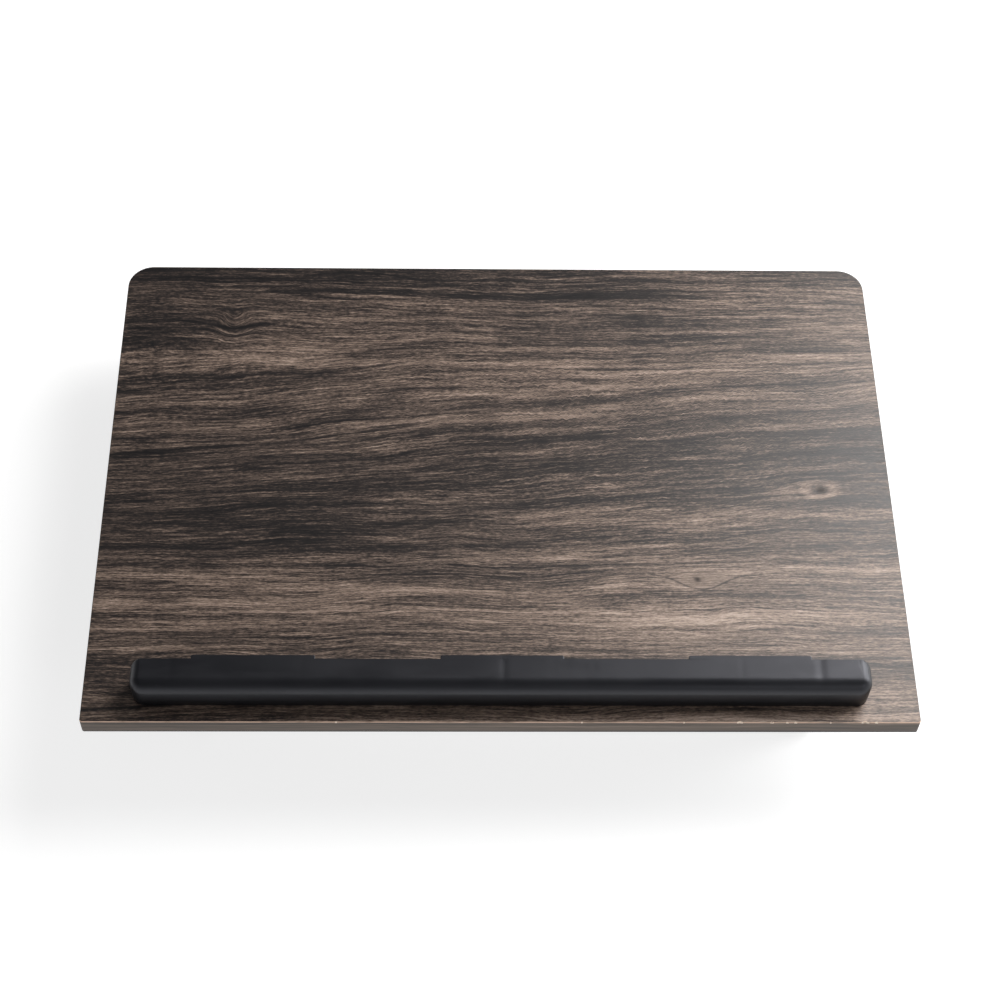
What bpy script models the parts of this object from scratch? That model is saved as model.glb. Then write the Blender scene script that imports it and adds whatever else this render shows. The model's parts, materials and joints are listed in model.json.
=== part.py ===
"""Compact standing desk converter: a tilting board on a scissor lift.

Metres, +Z up, +X to the user's right, +Y away from the user.  The origin is on the
table, under the middle of the board.  Rest pose: lift lowered, board flat.
"""

import math

import bmesh
import bpy
from mathutils import Matrix, Vector

GAP = 0.0003                       # between pieces that touch

# Board and ledge
BOARD_WIDTH = 0.600
BOARD_DEPTH = 0.420
BOARD_THICKNESS = 0.015
BOARD_TOP = 0.089
BOARD_BOTTOM = BOARD_TOP - BOARD_THICKNESS
REAR_CORNER_RADIUS = 0.020
FRONT_CORNER_RADIUS = 0.002
BAND_THICKNESS = 0.001
LAMINATE_THICKNESS = 0.0008
LEDGE_LENGTH = 0.528
LEDGE_FRONT_Y = -0.1975
LEDGE_REAR_Y = -0.1735
LEDGE_TOP = 0.116
LEDGE_END_RADIUS = 0.010
LEDGE_FRONT_FILLET = 0.0075
LEDGE_REAR_FILLET = 0.0012
LEDGE_REAR_SHARE = 0.9             # how far the rear edge leans in over its fillet
LEDGE_CORNER_SHARE = 0.4           # how fast the end corners tighten over the fillet
LEDGE_LEAST_RADIUS = 0.002
LEDGE_SKIN = 0.0025
PAD_LENGTH = 0.088
PAD_SPACING = 0.177
PAD_THICKNESS = 0.0027
PAD_BOTTOM = 0.093
PAD_END_BEVEL = 0.0018
SCREW_XS = (-0.210, 0.0, 0.210)
SCREW_Y = -0.185
SCREW_HEAD_RADIUS = 0.0042
SCREW_SHANK_RADIUS = 0.0020
SCREW_SINK = 0.0001                # head's face above the board's underside
SCREW_RIM = 0.0005
SCREW_TIP_Z = 0.1005

# Scissor: two pairs of arms between a base frame and a top frame
ARM_LENGTH = 0.330
FIXED_Y = 0.175
BASE_PIVOT_Z = 0.019
TOP_PIVOT_Z = 0.051
SLIDE_Y = FIXED_Y - math.sqrt(ARM_LENGTH ** 2 - (TOP_PIVOT_Z - BASE_PIVOT_Z) ** 2)
CENTRE_Y = (FIXED_Y + SLIDE_Y) / 2
CENTRE_Z = (BASE_PIVOT_Z + TOP_PIVOT_Z) / 2
ARM_HALF_HEIGHT = 0.013
OUTER_ARM_X = (0.208, 0.212)
INNER_ARM_X = (0.198, 0.202)
SHAFT_RADIUS = 0.005
CENTRE_BOLT_RADIUS = 0.004
BOLT_HEAD_RADIUS = 0.0072
NUT_HEIGHT = 0.0035
NUT_CHAMFER = 0.0006
BOLT_HEAD_HEIGHT = 0.0028
BOLT_HEAD_RIM = 0.0020
BOLT_HEAD_CHAMFER = 0.0015
SHAFT_STAND_OUT = 0.0035           # fixed shafts beyond the rails
SHAFT_SHOE_INSET = 0.0010          # slide shafts inside the shoes' faces
CROSS_TUBE_RADIUS = 0.007
CROSS_TUBE_OFFSET = 0.075

# Rails: channels that open inwards, with nylon shoes running in them
RAIL_X = (0.216, 0.240)
RAIL_WALL = 0.002
RAIL_HEIGHT = 0.028
BASE_RAIL_BOTTOM = 0.005
TOP_RAIL_BOTTOM = 0.037
TOP_RAIL_TOP = TOP_RAIL_BOTTOM + RAIL_HEIGHT
BASE_RAIL_Y = (-0.170, 0.200)
TOP_RAIL_Y = (-0.1895, 0.205)
SHOE_X = (0.224, 0.2345)
SHOE_HALF_LENGTH = 0.012
SHOE_CORNER = 0.003

# Cross members and feet
FRONT_BAR_Y = (-0.189, -0.175)
MID_BAR_Y = (0.016, 0.028)
REAR_BAR_Y = (0.190, 0.204)
BAR_Z = (0.043, 0.061)
MID_BAR_Z = (0.057, 0.0627)
TUBE_WALL = 0.0015
STRAP_Z = (0.0024, 0.0047)
STRAP_WIDTH = 0.024
STRAP_CORNER = 0.004
STRAP_INSET = 0.001                # strap ends inside the rails' webs
FRONT_STRAP_Y = -0.128
REAR_STRAP_Y = 0.160
FOOT_X = 0.228
FOOT_YS = (-0.157, 0.187)
FOOT_RADIUS = 0.012
FOOT_RIM = 0.0015
FOOT_HEIGHT = BASE_RAIL_BOTTOM - GAP

# Tilt: a hinge at the front and an isosceles stay that slides on the top rails
HINGE_Y = -0.1935
HINGE_Z = 0.0693
HINGE_X = 0.150
HINGE_WIDTH = 0.050
KNUCKLE_RADIUS = 0.0035
PIN_RADIUS = 0.00175
PIN_CHAMFER = 0.0003
LEAF_THICKNESS = 0.0015
FRAME_LEAF_RISE = 0.002            # leaf's lower edge above the front bar's
KNUCKLE_NECK = 0.003               # knuckle's root below the top rails' upper face
BOARD_LEAF_Y = (0.005, 0.028)      # behind the hinge line
LEAF_TAB = 0.008
STAY_LENGTH = 0.190
STAY_Y = HINGE_Y + STAY_LENGTH
STAY_FOOT_Y = STAY_Y + STAY_LENGTH
STAY_BAR_RADIUS = 0.004
STAY_LEG_WIDTH = 0.006
STAY_BAR_INSET = 0.008
STAY_EAR_HALF_LENGTH = 0.008
STAY_EAR_THICKNESS = 0.003
STAY_WING_REACH = 0.011
STAY_PIN_INSET = 0.001
BUMPER_Y = 0.100
BUMPER_RADIUS = 0.007
BUMPER_CHAMFER = 0.002

# Height lock: a jam plate on a rod, freed by a squeeze lever under the front edge
LOCK_X = 0.060
LOCK_ROD_RADIUS = 0.004
LOCK_ROD_END_Y = 0.0165
LOCK_ROD_CHAMFER = 0.001
LOCK_ROD_HOLE_SLACK = 0.001
LOCK_EYE_RADIUS = 0.007
LOCK_EYE_WIDTH = 0.016
PLATE_FOOT_Y = 0.012
PLATE_FOOT_Z = 0.036
PLATE_THICKNESS = 0.003
PLATE_HALF_WIDTH = 0.012
PLATE_Z = (0.0343, 0.0620)
PLATE_CORNER = 0.002
PLATE_HOLE_SLACK = 0.0006
HOUSING_WALL = 0.003
HOUSING_HALF_WIDTH = 0.016
HOUSING_FLANGE = 0.0012
HOUSING_LIP = (0.002, 0.003)       # thickness and height of the shelf's lip
SHELF_DROP = 0.002
SHELF_REACH = 0.006
PLATE_BACK_GAP = 0.003
CUT_OVERRUN = 0.002
PLATE_TILT = math.radians(8.36)
LINK_Z = 0.060
LINK_RADIUS = 0.0015
LINK_BUTTON_RADIUS = 0.0027
LINK_BUTTON_LENGTH = 0.003
LINK_PLATE_GAP = 0.0009
LINK_LEVER_GAP = 0.0025
LEVER_Y = -0.166
LEVER_Z = 0.040
PADDLE_Z = (0.0308, 0.0350)
PADDLE_Y = (-0.186, -0.170)
PADDLE_WIDTH = 0.050
PADDLE_CORNERS = (0.006, 0.006, 0.003, 0.003)
PADDLE_OVERLAP = 0.004
BRACKET_WALL = 0.002
BRACKET_HALF_GAP = 0.008
BRACKET_LOBE = 0.004
BRACKET_RISE = 0.002               # back plate's lower edge above the lever's pin
BRACKET_HEAD = 0.006               # cheek's front corner above the lever's pin
BRACKET_DROP = 0.006               # back plate's upper edge below the front bar's
LEVER_PIN_RADIUS = 0.0020
LEVER_PIN_HALF_LENGTH = 0.0115
LEVER_BORE_RADIUS = 0.0023
LEVER_HALF_WIDTH = 0.0075
LEVER_HUB_RADIUS = 0.0042
LEVER_ARM_HALF = 0.002
LEVER_ARM_RISE = 0.003             # arm's tip above the pull rod
LEVER_ARM_CORNER = 0.001
NECK_FOOT = 0.0015
NECK_HALF = 0.004
NECK_SKEW = 0.001

# Lift springs between the rear strap and the lower slide shaft
SPRING_X = 0.070
SPRING_RADIUS = 0.008
SPRING_ANCHOR_Y = REAR_STRAP_Y - 0.002
SPRING_CHAMFER = 0.002
ANCHOR_HALF_WIDTH = 0.009
ANCHOR_THICKNESS = 0.003
ANCHOR_TOP = 0.028
ANCHOR_OVERLAP = 0.001

SIDES = (("left", -1), ("right", 1))

# Each body's parent empty sits on the axis that the body turns about.
PIVOTS = {
    "base": (0, 0, 0),
    "outer_arms": (0, FIXED_Y, BASE_PIVOT_Z),
    "inner_arms": (0, CENTRE_Y, CENTRE_Z),
    "top_frame": (0, FIXED_Y, TOP_PIVOT_Z),
    "lower_carriage": (0, SLIDE_Y, BASE_PIVOT_Z),
    "upper_carriage": (0, SLIDE_Y, TOP_PIVOT_Z),
    "board": (0, HINGE_Y, HINGE_Z),
    "stay": (0, STAY_Y, HINGE_Z),
    "release_lever": (LOCK_X, LEVER_Y, LEVER_Z),
    "release_link": (LOCK_X, LEVER_Y, LINK_Z),
    "lock_plate": (LOCK_X, PLATE_FOOT_Y, PLATE_FOOT_Z),
}

# Finish: colour, roughness, metallic
FINISHES = {
    "walnut_laminate": ((0.052, 0.036, 0.030, 1), 0.42, 0.0),
    "walnut_edge_band": ((0.110, 0.078, 0.060, 1), 0.50, 0.0),
    "backing_laminate": ((0.030, 0.028, 0.027, 1), 0.60, 0.0),
    "particle_board": ((0.420, 0.290, 0.170, 1), 0.90, 0.0),
    "soft_touch_rubber": ((0.014, 0.014, 0.015, 1), 0.55, 0.0),
    "ledge_pad_rubber": ((0.022, 0.022, 0.023, 1), 0.75, 0.0),
    "black_plastic": ((0.020, 0.020, 0.021, 1), 0.45, 0.0),
    "black_powder_coat": ((0.018, 0.018, 0.019, 1), 0.50, 0.0),
    "zinc_plated_steel": ((0.560, 0.560, 0.550, 1), 0.30, 1.0),
    "spring_steel": ((0.420, 0.420, 0.430, 1), 0.32, 1.0),
    "nylon": ((0.720, 0.710, 0.670, 1), 0.45, 0.0),
    "foot_rubber": ((0.012, 0.012, 0.012, 1), 0.85, 0.0),
}

AXIS_FRAMES = {
    # Columns give world directions of an outline's u, its v and its depth.
    "X": Matrix(((0, 0, 1), (1, 0, 0), (0, 1, 0))),
    "Y": Matrix(((1, 0, 0), (0, 0, 1), (0, 1, 0))),
    "Z": Matrix(((1, 0, 0), (0, 1, 0), (0, 0, 1))),
}


def clear_scene():
    for obj in list(bpy.data.objects):
        bpy.data.objects.remove(obj, do_unlink=True)


def make_materials():
    made = {}
    for name, (colour, roughness, metallic) in FINISHES.items():
        material = bpy.data.materials.new(name)
        material.use_nodes = True
        shader = material.node_tree.nodes["Principled BSDF"]
        shader.inputs["Base Color"].default_value = colour
        shader.inputs["Roughness"].default_value = roughness
        shader.inputs["Metallic"].default_value = metallic
        material.diffuse_color = colour
        made[name] = material
    return made


def make_pivots():
    pivots = {}
    for body, place in PIVOTS.items():
        empty = bpy.data.objects.new(body + "_pivot", None)
        empty.empty_display_size = 0.02
        empty.location = place
        bpy.context.collection.objects.link(empty)
        pivots[body] = empty
    return pivots


# ---------------------------------------------------------------- outlines

def arc(centre, radius, start, end, steps):
    """Points along an arc, angles in degrees, both ends included."""
    points = []
    for i in range(steps + 1):
        angle = math.radians(start + (end - start) * i / steps)
        points.append((centre[0] + radius * math.cos(angle), centre[1] + radius * math.sin(angle)))
    return points


def circle(centre, radius, steps=24):
    return arc(centre, radius, 0, 360, steps)[:-1]


def rectangle(u, v):
    return [(u[0], v[0]), (u[1], v[0]), (u[1], v[1]), (u[0], v[1])]


def rounded_rectangle(u, v, radii, steps=6):
    """radii in the order low-low, high-low, high-high, low-high."""
    corners = ((u[0], v[0], 1, 1), (u[1], v[0], -1, 1), (u[1], v[1], -1, -1), (u[0], v[1], 1, -1))
    points = []
    for index, (cu, cv, du, dv) in enumerate(corners):
        radius = radii[index]
        start = 180 + 90 * index
        points += arc((cu + du * radius, cv + dv * radius), radius, start, start + 90, steps)
    return points


def bar_outline(start, end, half_height, steps=12):
    """A bar with round ends about two points."""
    angle = math.degrees(math.atan2(end[1] - start[1], end[0] - start[0]))
    near = arc(start, half_height, angle + 90, angle + 270, steps)
    far = arc(end, half_height, angle - 90, angle + 90, steps)
    return near + far


def board_outline(inset):
    half = BOARD_WIDTH / 2 - inset
    depth = BOARD_DEPTH / 2 - inset
    front = max(FRONT_CORNER_RADIUS - inset, 0.0005)
    rear = REAR_CORNER_RADIUS - inset
    return rounded_rectangle((-half, half), (-depth, depth), (front, front, rear, rear))


# ------------------------------------------------------------------ solids

def prism(outline, axis, low, high, holes=()):
    """An outline, with holes, extruded along a row axis from low to high."""
    bm = bmesh.new()
    frame = AXIS_FRAMES[axis]
    edges = []
    for loop in (outline, *holes):
        verts = [bm.verts.new(frame @ Vector((u, v, low))) for u, v in loop]
        edges += [bm.edges.new((verts[i - 1], verts[i])) for i in range(len(verts))]
    if holes:
        bmesh.ops.triangle_fill(bm, edges=edges, use_beauty=True)
    else:
        bmesh.ops.contextual_create(bm, geom=edges)
    extruded = bmesh.ops.extrude_face_region(bm, geom=bm.faces[:])
    moved = [item for item in extruded["geom"] if isinstance(item, bmesh.types.BMVert)]
    bmesh.ops.translate(bm, verts=moved, vec=frame @ Vector((0, 0, high - low)))
    return bm


def add_ring(bm, points):
    return [bm.verts.new(point) for point in points]


def bridge(bm, first, second):
    for i in range(len(first)):
        bm.faces.new((first[i - 1], first[i], second[i], second[i - 1]))


def loft(rings):
    """A closed solid through a stack of rings, capped at both ends."""
    bm = bmesh.new()
    loops = [add_ring(bm, ring) for ring in rings]
    for first, second in zip(loops, loops[1:]):
        bridge(bm, first, second)
    bm.faces.new(loops[0])
    bm.faces.new(loops[-1])
    return bm


def open_shell(outer, inner):
    """A hollow solid, open at its first ring, from outer and inner stacks of rings."""
    bm = bmesh.new()
    stacks = []
    for rings in (outer, inner):
        loops = [add_ring(bm, ring) for ring in rings]
        for first, second in zip(loops, loops[1:]):
            bridge(bm, first, second)
        bm.faces.new(loops[-1])
        stacks.append(loops)
    bridge(bm, stacks[0][0], stacks[1][0])
    return bm


def turned(axis, centre, profile, steps=24):
    """A turned solid. profile is a list of (place along the axis, radius)."""
    frame = AXIS_FRAMES[axis]
    rings = []
    for place, radius in profile:
        flat = circle(centre, radius, steps)
        rings.append([frame @ Vector((u, v, place)) for u, v in flat])
    return loft(rings)


def chamfered_rod(axis, centre, radius, low, high, chamfer=0.0006, steps=24):
    end = radius - chamfer
    profile = [(low, end), (low + chamfer, radius), (high - chamfer, radius), (high, end)]
    return turned(axis, centre, profile, steps)


# ----------------------------------------------------------------- objects

class Builder:
    """Places finished meshes as named objects under their body's pivot."""

    def __init__(self):
        self.materials = make_materials()
        self.pivots = make_pivots()

    def add(self, name, bm, finish, body, smooth=False):
        pivot = self.pivots[body]
        bmesh.ops.translate(bm, verts=bm.verts, vec=-Vector(PIVOTS[body]))
        bmesh.ops.recalc_face_normals(bm, faces=bm.faces)
        mesh = bpy.data.meshes.new(name)
        bm.to_mesh(mesh)
        bm.free()
        if smooth:
            mesh.shade_smooth()
            mesh.set_sharp_from_angle(angle=math.radians(35))
        obj = bpy.data.objects.new(name, mesh)
        bpy.context.collection.objects.link(obj)
        obj.data.materials.append(self.materials[finish])
        obj.parent = pivot
        return obj

    def add_tool(self, name, bm, body):
        """A mesh used only to cut another or to be joined to it."""
        tool = self.add(name, bm, "black_plastic", body)
        tool.hide_render = True
        tool.display_type = "WIRE"
        return tool

    def combine(self, obj, operation, tool):
        modifier = obj.modifiers.new(operation.lower(), "BOOLEAN")
        modifier.operation = operation
        modifier.solver = "EXACT"
        modifier.object = tool

    def cut(self, obj, name, bm, body):
        self.combine(obj, "DIFFERENCE", self.add_tool(name, bm, body))

    def join(self, obj, name, bm, body):
        self.combine(obj, "UNION", self.add_tool(name, bm, body))


# ------------------------------------------------------------------- board

def screw_profile(clearance):
    """Countersunk screw from under the board up into the ledge's core."""
    head = SCREW_HEAD_RADIUS + clearance
    shank = SCREW_SHANK_RADIUS + clearance
    return [
        (BOARD_BOTTOM + SCREW_SINK - clearance * 2, head),
        (BOARD_BOTTOM + SCREW_RIM, head),
        (BOARD_BOTTOM + SCREW_RIM + head - shank, shank),
        (SCREW_TIP_Z + clearance, shank),
    ]


def add_board(builder):
    inner = BAND_THICKNESS + GAP
    core_low = BOARD_BOTTOM + LAMINATE_THICKNESS + GAP
    core_high = BOARD_TOP - LAMINATE_THICKNESS - GAP
    layers = (
        ("board_core", "particle_board", core_low, core_high),
        ("top_laminate", "walnut_laminate", BOARD_TOP - LAMINATE_THICKNESS, BOARD_TOP),
        ("bottom_laminate", "backing_laminate", BOARD_BOTTOM, BOARD_BOTTOM + LAMINATE_THICKNESS),
    )
    drill = None
    for name, finish, low, high in layers:
        layer = builder.add(name, prism(board_outline(inner), "Z", low, high), finish, "board")
        if drill is None:
            drill = add_screw_drill(builder)
        builder.combine(layer, "DIFFERENCE", drill)
    band = prism(board_outline(0), "Z", BOARD_BOTTOM, BOARD_TOP, [board_outline(BAND_THICKNESS)])
    builder.add("edge_band", band, "walnut_edge_band", "board")
    return drill


def add_screw_drill(builder):
    """One cutting tool with a stepped spindle at each ledge screw."""
    drill = bmesh.new()
    for x in SCREW_XS:
        spindle = turned("Z", (x, SCREW_Y), screw_profile(GAP), 16)
        mesh = bpy.data.meshes.new("spindle")
        spindle.to_mesh(mesh)
        spindle.free()
        drill.from_mesh(mesh)
        bpy.data.meshes.remove(mesh)
    return builder.add_tool("cut_ledge_screws", drill, "board")


def ledge_ring(z, inset, fillet_inset):
    """Plan outline of the ledge at one height. Its rear edge has a smaller fillet."""
    half = LEDGE_LENGTH / 2 - inset - fillet_inset
    front = LEDGE_FRONT_Y + inset + fillet_inset
    rear = LEDGE_REAR_Y - inset - min(fillet_inset, LEDGE_REAR_FILLET) * LEDGE_REAR_SHARE
    corner = max(LEDGE_END_RADIUS - inset - fillet_inset * LEDGE_CORNER_SHARE, LEDGE_LEAST_RADIUS)
    flat = rounded_rectangle((-half, half), (front, rear), (corner,) * 4, 6)
    return [Vector((x, y, z)) for x, y in flat]


def ledge_rings(bottom, inset):
    """Rings from the bottom, up the walls and over the rounded top edge."""
    top = LEDGE_TOP - inset
    fillet = LEDGE_FRONT_FILLET - inset
    rings = [ledge_ring(bottom, inset, 0)]
    steps = 6
    for i in range(steps + 1):
        angle = math.pi / 2 * i / steps
        rings.append(ledge_ring(top - fillet * (1 - math.sin(angle)), inset, fillet * (1 - math.cos(angle))))
    return rings


def add_ledge(builder, drill):
    bottom = BOARD_TOP + GAP
    cover = open_shell(ledge_rings(bottom, 0), ledge_rings(bottom, LEDGE_SKIN))
    builder.add("ledge_cover", cover, "soft_touch_rubber", "board", smooth=True)
    core = builder.add("ledge_core", loft(ledge_rings(bottom, LEDGE_SKIN + GAP)), "black_plastic", "board")
    builder.combine(core, "DIFFERENCE", drill)
    for number, x in enumerate((-PAD_SPACING, 0, PAD_SPACING), start=1):
        add_ledge_pad(builder, "ledge_pad_%d" % number, x)
    for number, x in enumerate(SCREW_XS, start=1):
        screw = turned("Z", (x, SCREW_Y), screw_profile(0), 16)
        builder.add("ledge_screw_%d" % number, screw, "zinc_plated_steel", "board", smooth=True)


def add_ledge_pad(builder, name, x):
    """A thin pad on the ledge's rear face, with bevelled ends."""
    half = PAD_LENGTH / 2
    near = LEDGE_REAR_Y + GAP
    far = near + PAD_THICKNESS
    far_half = half - PAD_END_BEVEL
    outline = [(x - half, near), (x + half, near), (x + far_half, far), (x - far_half, far)]
    builder.add(name, prism(outline, "Z", PAD_BOTTOM, LEDGE_TOP - GAP), "ledge_pad_rubber", "board")


# -------------------------------------------------------------- tilt hinge

def add_hinge(builder, side, sign):
    low = sign * HINGE_X - HINGE_WIDTH / 2
    third = HINGE_WIDTH / 3
    slack = GAP / 2
    middle = (low + third + slack, low + 2 * third - slack)
    add_frame_leaf(builder, "hinge_frame_leaf_" + side, low, middle)
    add_board_leaf(builder, "hinge_board_leaf_" + side, low, middle)


def add_frame_leaf(builder, name, low, middle):
    """Upright leaf on the front bar with the middle knuckle and the pin."""
    face = FRONT_BAR_Y[0] - GAP
    outline = rectangle((face - LEAF_THICKNESS, face), (BAR_Z[0] + FRAME_LEAF_RISE, TOP_RAIL_TOP))
    leaf = builder.add(name, prism(outline, "X", low, low + HINGE_WIDTH), "black_powder_coat", "top_frame")
    knuckle = arc((HINGE_Y, HINGE_Z), KNUCKLE_RADIUS, 0, 300, 20)
    root = TOP_RAIL_TOP - KNUCKLE_NECK
    neck = [(face - LEAF_THICKNESS, root), (face, root), (face, HINGE_Z)]
    builder.join(leaf, name + "_knuckle", prism(knuckle + neck, "X", *middle), "top_frame")
    pin = chamfered_rod("X", (HINGE_Y, HINGE_Z), PIN_RADIUS, low, low + HINGE_WIDTH, PIN_CHAMFER, 20)
    builder.join(leaf, name + "_pin", pin, "top_frame")


def add_board_leaf(builder, name, low, middle):
    """Flat leaf under the board with the two outer knuckles."""
    top = BOARD_BOTTOM - GAP
    bottom = top - LEAF_THICKNESS
    plate = rectangle([HINGE_Y + y for y in BOARD_LEAF_Y], (bottom, top))
    leaf = builder.add(name, prism(plate, "X", low, low + HINGE_WIDTH), "black_powder_coat", "board")
    inner = math.degrees(math.asin((bottom - HINGE_Z) / KNUCKLE_RADIUS))
    wrap = arc((HINGE_Y, HINGE_Z), KNUCKLE_RADIUS, inner, -180, 20)
    front = HINGE_Y - KNUCKLE_RADIUS
    tab = [(front, top), (HINGE_Y + LEAF_TAB, top), (HINGE_Y + LEAF_TAB, bottom)]
    bore = circle((HINGE_Y, HINGE_Z), PIN_RADIUS + GAP, 20)
    spans = ((low, middle[0] - GAP), (middle[1] + GAP, low + HINGE_WIDTH))
    for number, span in enumerate(spans, start=1):
        knuckle = prism(wrap + tab, "X", *span, [bore])
        builder.join(leaf, "%s_knuckle_%d" % (name, number), knuckle, "board")


# -------------------------------------------------------------------- stay

def add_stay(builder):
    half = STAY_LEG_WIDTH / 2
    for side, sign in SIDES:
        x = sign * HINGE_X
        add_stay_bracket(builder, "stay_bracket_" + side, x)
        near = arc((STAY_Y, HINGE_Z), KNUCKLE_RADIUS, 90, 270, 12)
        end = STAY_FOOT_Y - STAY_BAR_RADIUS - GAP
        outline = near + [(end, HINGE_Z - KNUCKLE_RADIUS), (end, HINGE_Z + KNUCKLE_RADIUS)]
        bore = circle((STAY_Y, HINGE_Z), PIN_RADIUS + GAP, 20)
        leg = prism(outline, "X", x - half, x + half, [bore])
        builder.add("stay_leg_" + side, leg, "black_powder_coat", "stay")
    reach = RAIL_X[1] - STAY_BAR_INSET
    bar = chamfered_rod("X", (STAY_FOOT_Y, HINGE_Z), STAY_BAR_RADIUS, -reach, reach)
    builder.add("stay_foot_bar", bar, "zinc_plated_steel", "stay", smooth=True)


def add_stay_bracket(builder, name, x):
    """Two ears under the board, joined by the pin that the stay's leg turns on."""
    span = (STAY_Y - STAY_EAR_HALF_LENGTH, STAY_Y + STAY_EAR_HALF_LENGTH)
    top = BOARD_BOTTOM - GAP
    bottom = HINGE_Z - KNUCKLE_RADIUS
    near = STAY_LEG_WIDTH / 2 + GAP
    ear = near + STAY_EAR_THICKNESS
    wing = near + STAY_WING_REACH
    bracket = None
    for number, sign in enumerate((-1, 1), start=1):
        outline = [
            (x + sign * near, bottom), (x + sign * ear, bottom), (x + sign * ear, top - LEAF_THICKNESS),
            (x + sign * wing, top - LEAF_THICKNESS), (x + sign * wing, top), (x + sign * near, top),
        ]
        solid = prism(outline, "Y", *span)
        if bracket is None:
            bracket = builder.add(name, solid, "black_powder_coat", "board")
        else:
            builder.join(bracket, "%s_ear_%d" % (name, number), solid, "board")
    reach = ear - STAY_PIN_INSET
    pin = turned("X", (STAY_Y, HINGE_Z), [(x - reach, PIN_RADIUS), (x + reach, PIN_RADIUS)], 20)
    builder.join(bracket, name + "_pin", pin, "board")


# ------------------------------------------------------------------ frames

def channel(sign, bottom, span):
    """A C-shaped rail on one side, its open side facing inwards."""
    inner, outer = RAIL_X
    top = bottom + RAIL_HEIGHT
    outline = [
        (sign * inner, bottom), (sign * outer, bottom), (sign * outer, top), (sign * inner, top),
        (sign * inner, top - RAIL_WALL), (sign * (outer - RAIL_WALL), top - RAIL_WALL),
        (sign * (outer - RAIL_WALL), bottom + RAIL_WALL), (sign * inner, bottom + RAIL_WALL),
    ]
    return prism(outline, "Y", *span)


def add_rail(builder, name, body, sign, bottom, span, pivot_z):
    rail = builder.add(name, channel(sign, bottom, span), "black_powder_coat", body)
    outer = sign * (RAIL_X[1] - RAIL_WALL / 2)
    ends = (outer - RAIL_WALL, outer + RAIL_WALL)
    bore = prism(circle((FIXED_Y, pivot_z), SHAFT_RADIUS + GAP), "X", *ends)
    builder.cut(rail, "cut_" + name, bore, body)


def tube(span_y, span_z):
    """A rectangular tube from web to web of the two rails."""
    reach = RAIL_X[1] - RAIL_WALL - GAP
    wall = TUBE_WALL
    outer = rectangle(span_y, span_z)
    inner = rectangle((span_y[0] + wall, span_y[1] - wall), (span_z[0] + wall, span_z[1] - wall))
    return prism(outer, "X", -reach, reach, [inner])


def add_top_frame(builder):
    for side, sign in SIDES:
        add_rail(builder, "upper_rail_" + side, "top_frame", sign, TOP_RAIL_BOTTOM, TOP_RAIL_Y, TOP_PIVOT_Z)
        add_hinge(builder, side, sign)
        low = TOP_RAIL_TOP + GAP
        high = BOARD_BOTTOM - GAP
        shoulder = high - BUMPER_CHAMFER
        profile = [(low, BUMPER_RADIUS), (shoulder, BUMPER_RADIUS), (high, BUMPER_RADIUS - BUMPER_CHAMFER)]
        bumper = turned("Z", (sign * FOOT_X, BUMPER_Y), profile, 24)
        builder.add("board_bumper_" + side, bumper, "foot_rubber", "top_frame", smooth=True)
    bars = (("front", FRONT_BAR_Y, BAR_Z), ("mid", MID_BAR_Y, MID_BAR_Z), ("rear", REAR_BAR_Y, BAR_Z))
    for place, span_y, span_z in bars:
        builder.add("upper_%s_bar" % place, tube(span_y, span_z), "black_powder_coat", "top_frame")


def add_base(builder):
    for side, sign in SIDES:
        add_rail(builder, "base_rail_" + side, "base", sign, BASE_RAIL_BOTTOM, BASE_RAIL_Y, BASE_PIVOT_Z)
    number = 0
    for y in FOOT_YS:
        for sign in (-1, 1):
            number += 1
            add_foot(builder, "foot_%d" % number, sign * FOOT_X, y)
    add_strap(builder, "base_strap_front", FRONT_STRAP_Y)
    rear = add_strap(builder, "base_strap_rear", REAR_STRAP_Y)
    for side, sign in SIDES:
        x = sign * SPRING_X
        width = (x - ANCHOR_HALF_WIDTH, x + ANCHOR_HALF_WIDTH)
        face = rectangle(width, (STRAP_Z[0] + ANCHOR_OVERLAP, ANCHOR_TOP))
        anchor = prism(face, "Y", SPRING_ANCHOR_Y, SPRING_ANCHOR_Y + ANCHOR_THICKNESS)
        builder.join(rear, "spring_anchor_" + side, anchor, "base")
        ends = (SLIDE_Y + SHAFT_RADIUS + GAP, SPRING_ANCHOR_Y - GAP)
        spring = chamfered_rod("Y", (x, BASE_PIVOT_Z), SPRING_RADIUS, *ends, SPRING_CHAMFER, 20)
        builder.add("lift_spring_" + side, spring, "spring_steel", "base", smooth=True)


def add_strap(builder, name, y):
    reach = RAIL_X[1] - STRAP_INSET
    span = (y - STRAP_WIDTH / 2, y + STRAP_WIDTH / 2)
    strap = prism(rounded_rectangle((-reach, reach), span, (STRAP_CORNER,) * 4, 4), "Z", *STRAP_Z)
    return builder.add(name, strap, "black_powder_coat", "base")


def add_foot(builder, name, x, y):
    profile = [(0, FOOT_RADIUS - FOOT_RIM), (FOOT_RIM, FOOT_RADIUS), (FOOT_HEIGHT, FOOT_RADIUS)]
    builder.add(name, turned("Z", (x, y), profile), "foot_rubber", "base", smooth=True)


# ----------------------------------------------------------------- scissor

def arm(start, end, span):
    """A flat bar from start to end, bored at both ends and at the middle."""
    middle = ((start[0] + end[0]) / 2, (start[1] + end[1]) / 2)
    holes = [
        circle(start, SHAFT_RADIUS + GAP),
        circle(middle, CENTRE_BOLT_RADIUS + GAP, 16),
        circle(end, SHAFT_RADIUS + GAP),
    ]
    return prism(bar_outline(start, end, ARM_HALF_HEIGHT), "X", *span, holes)


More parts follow.
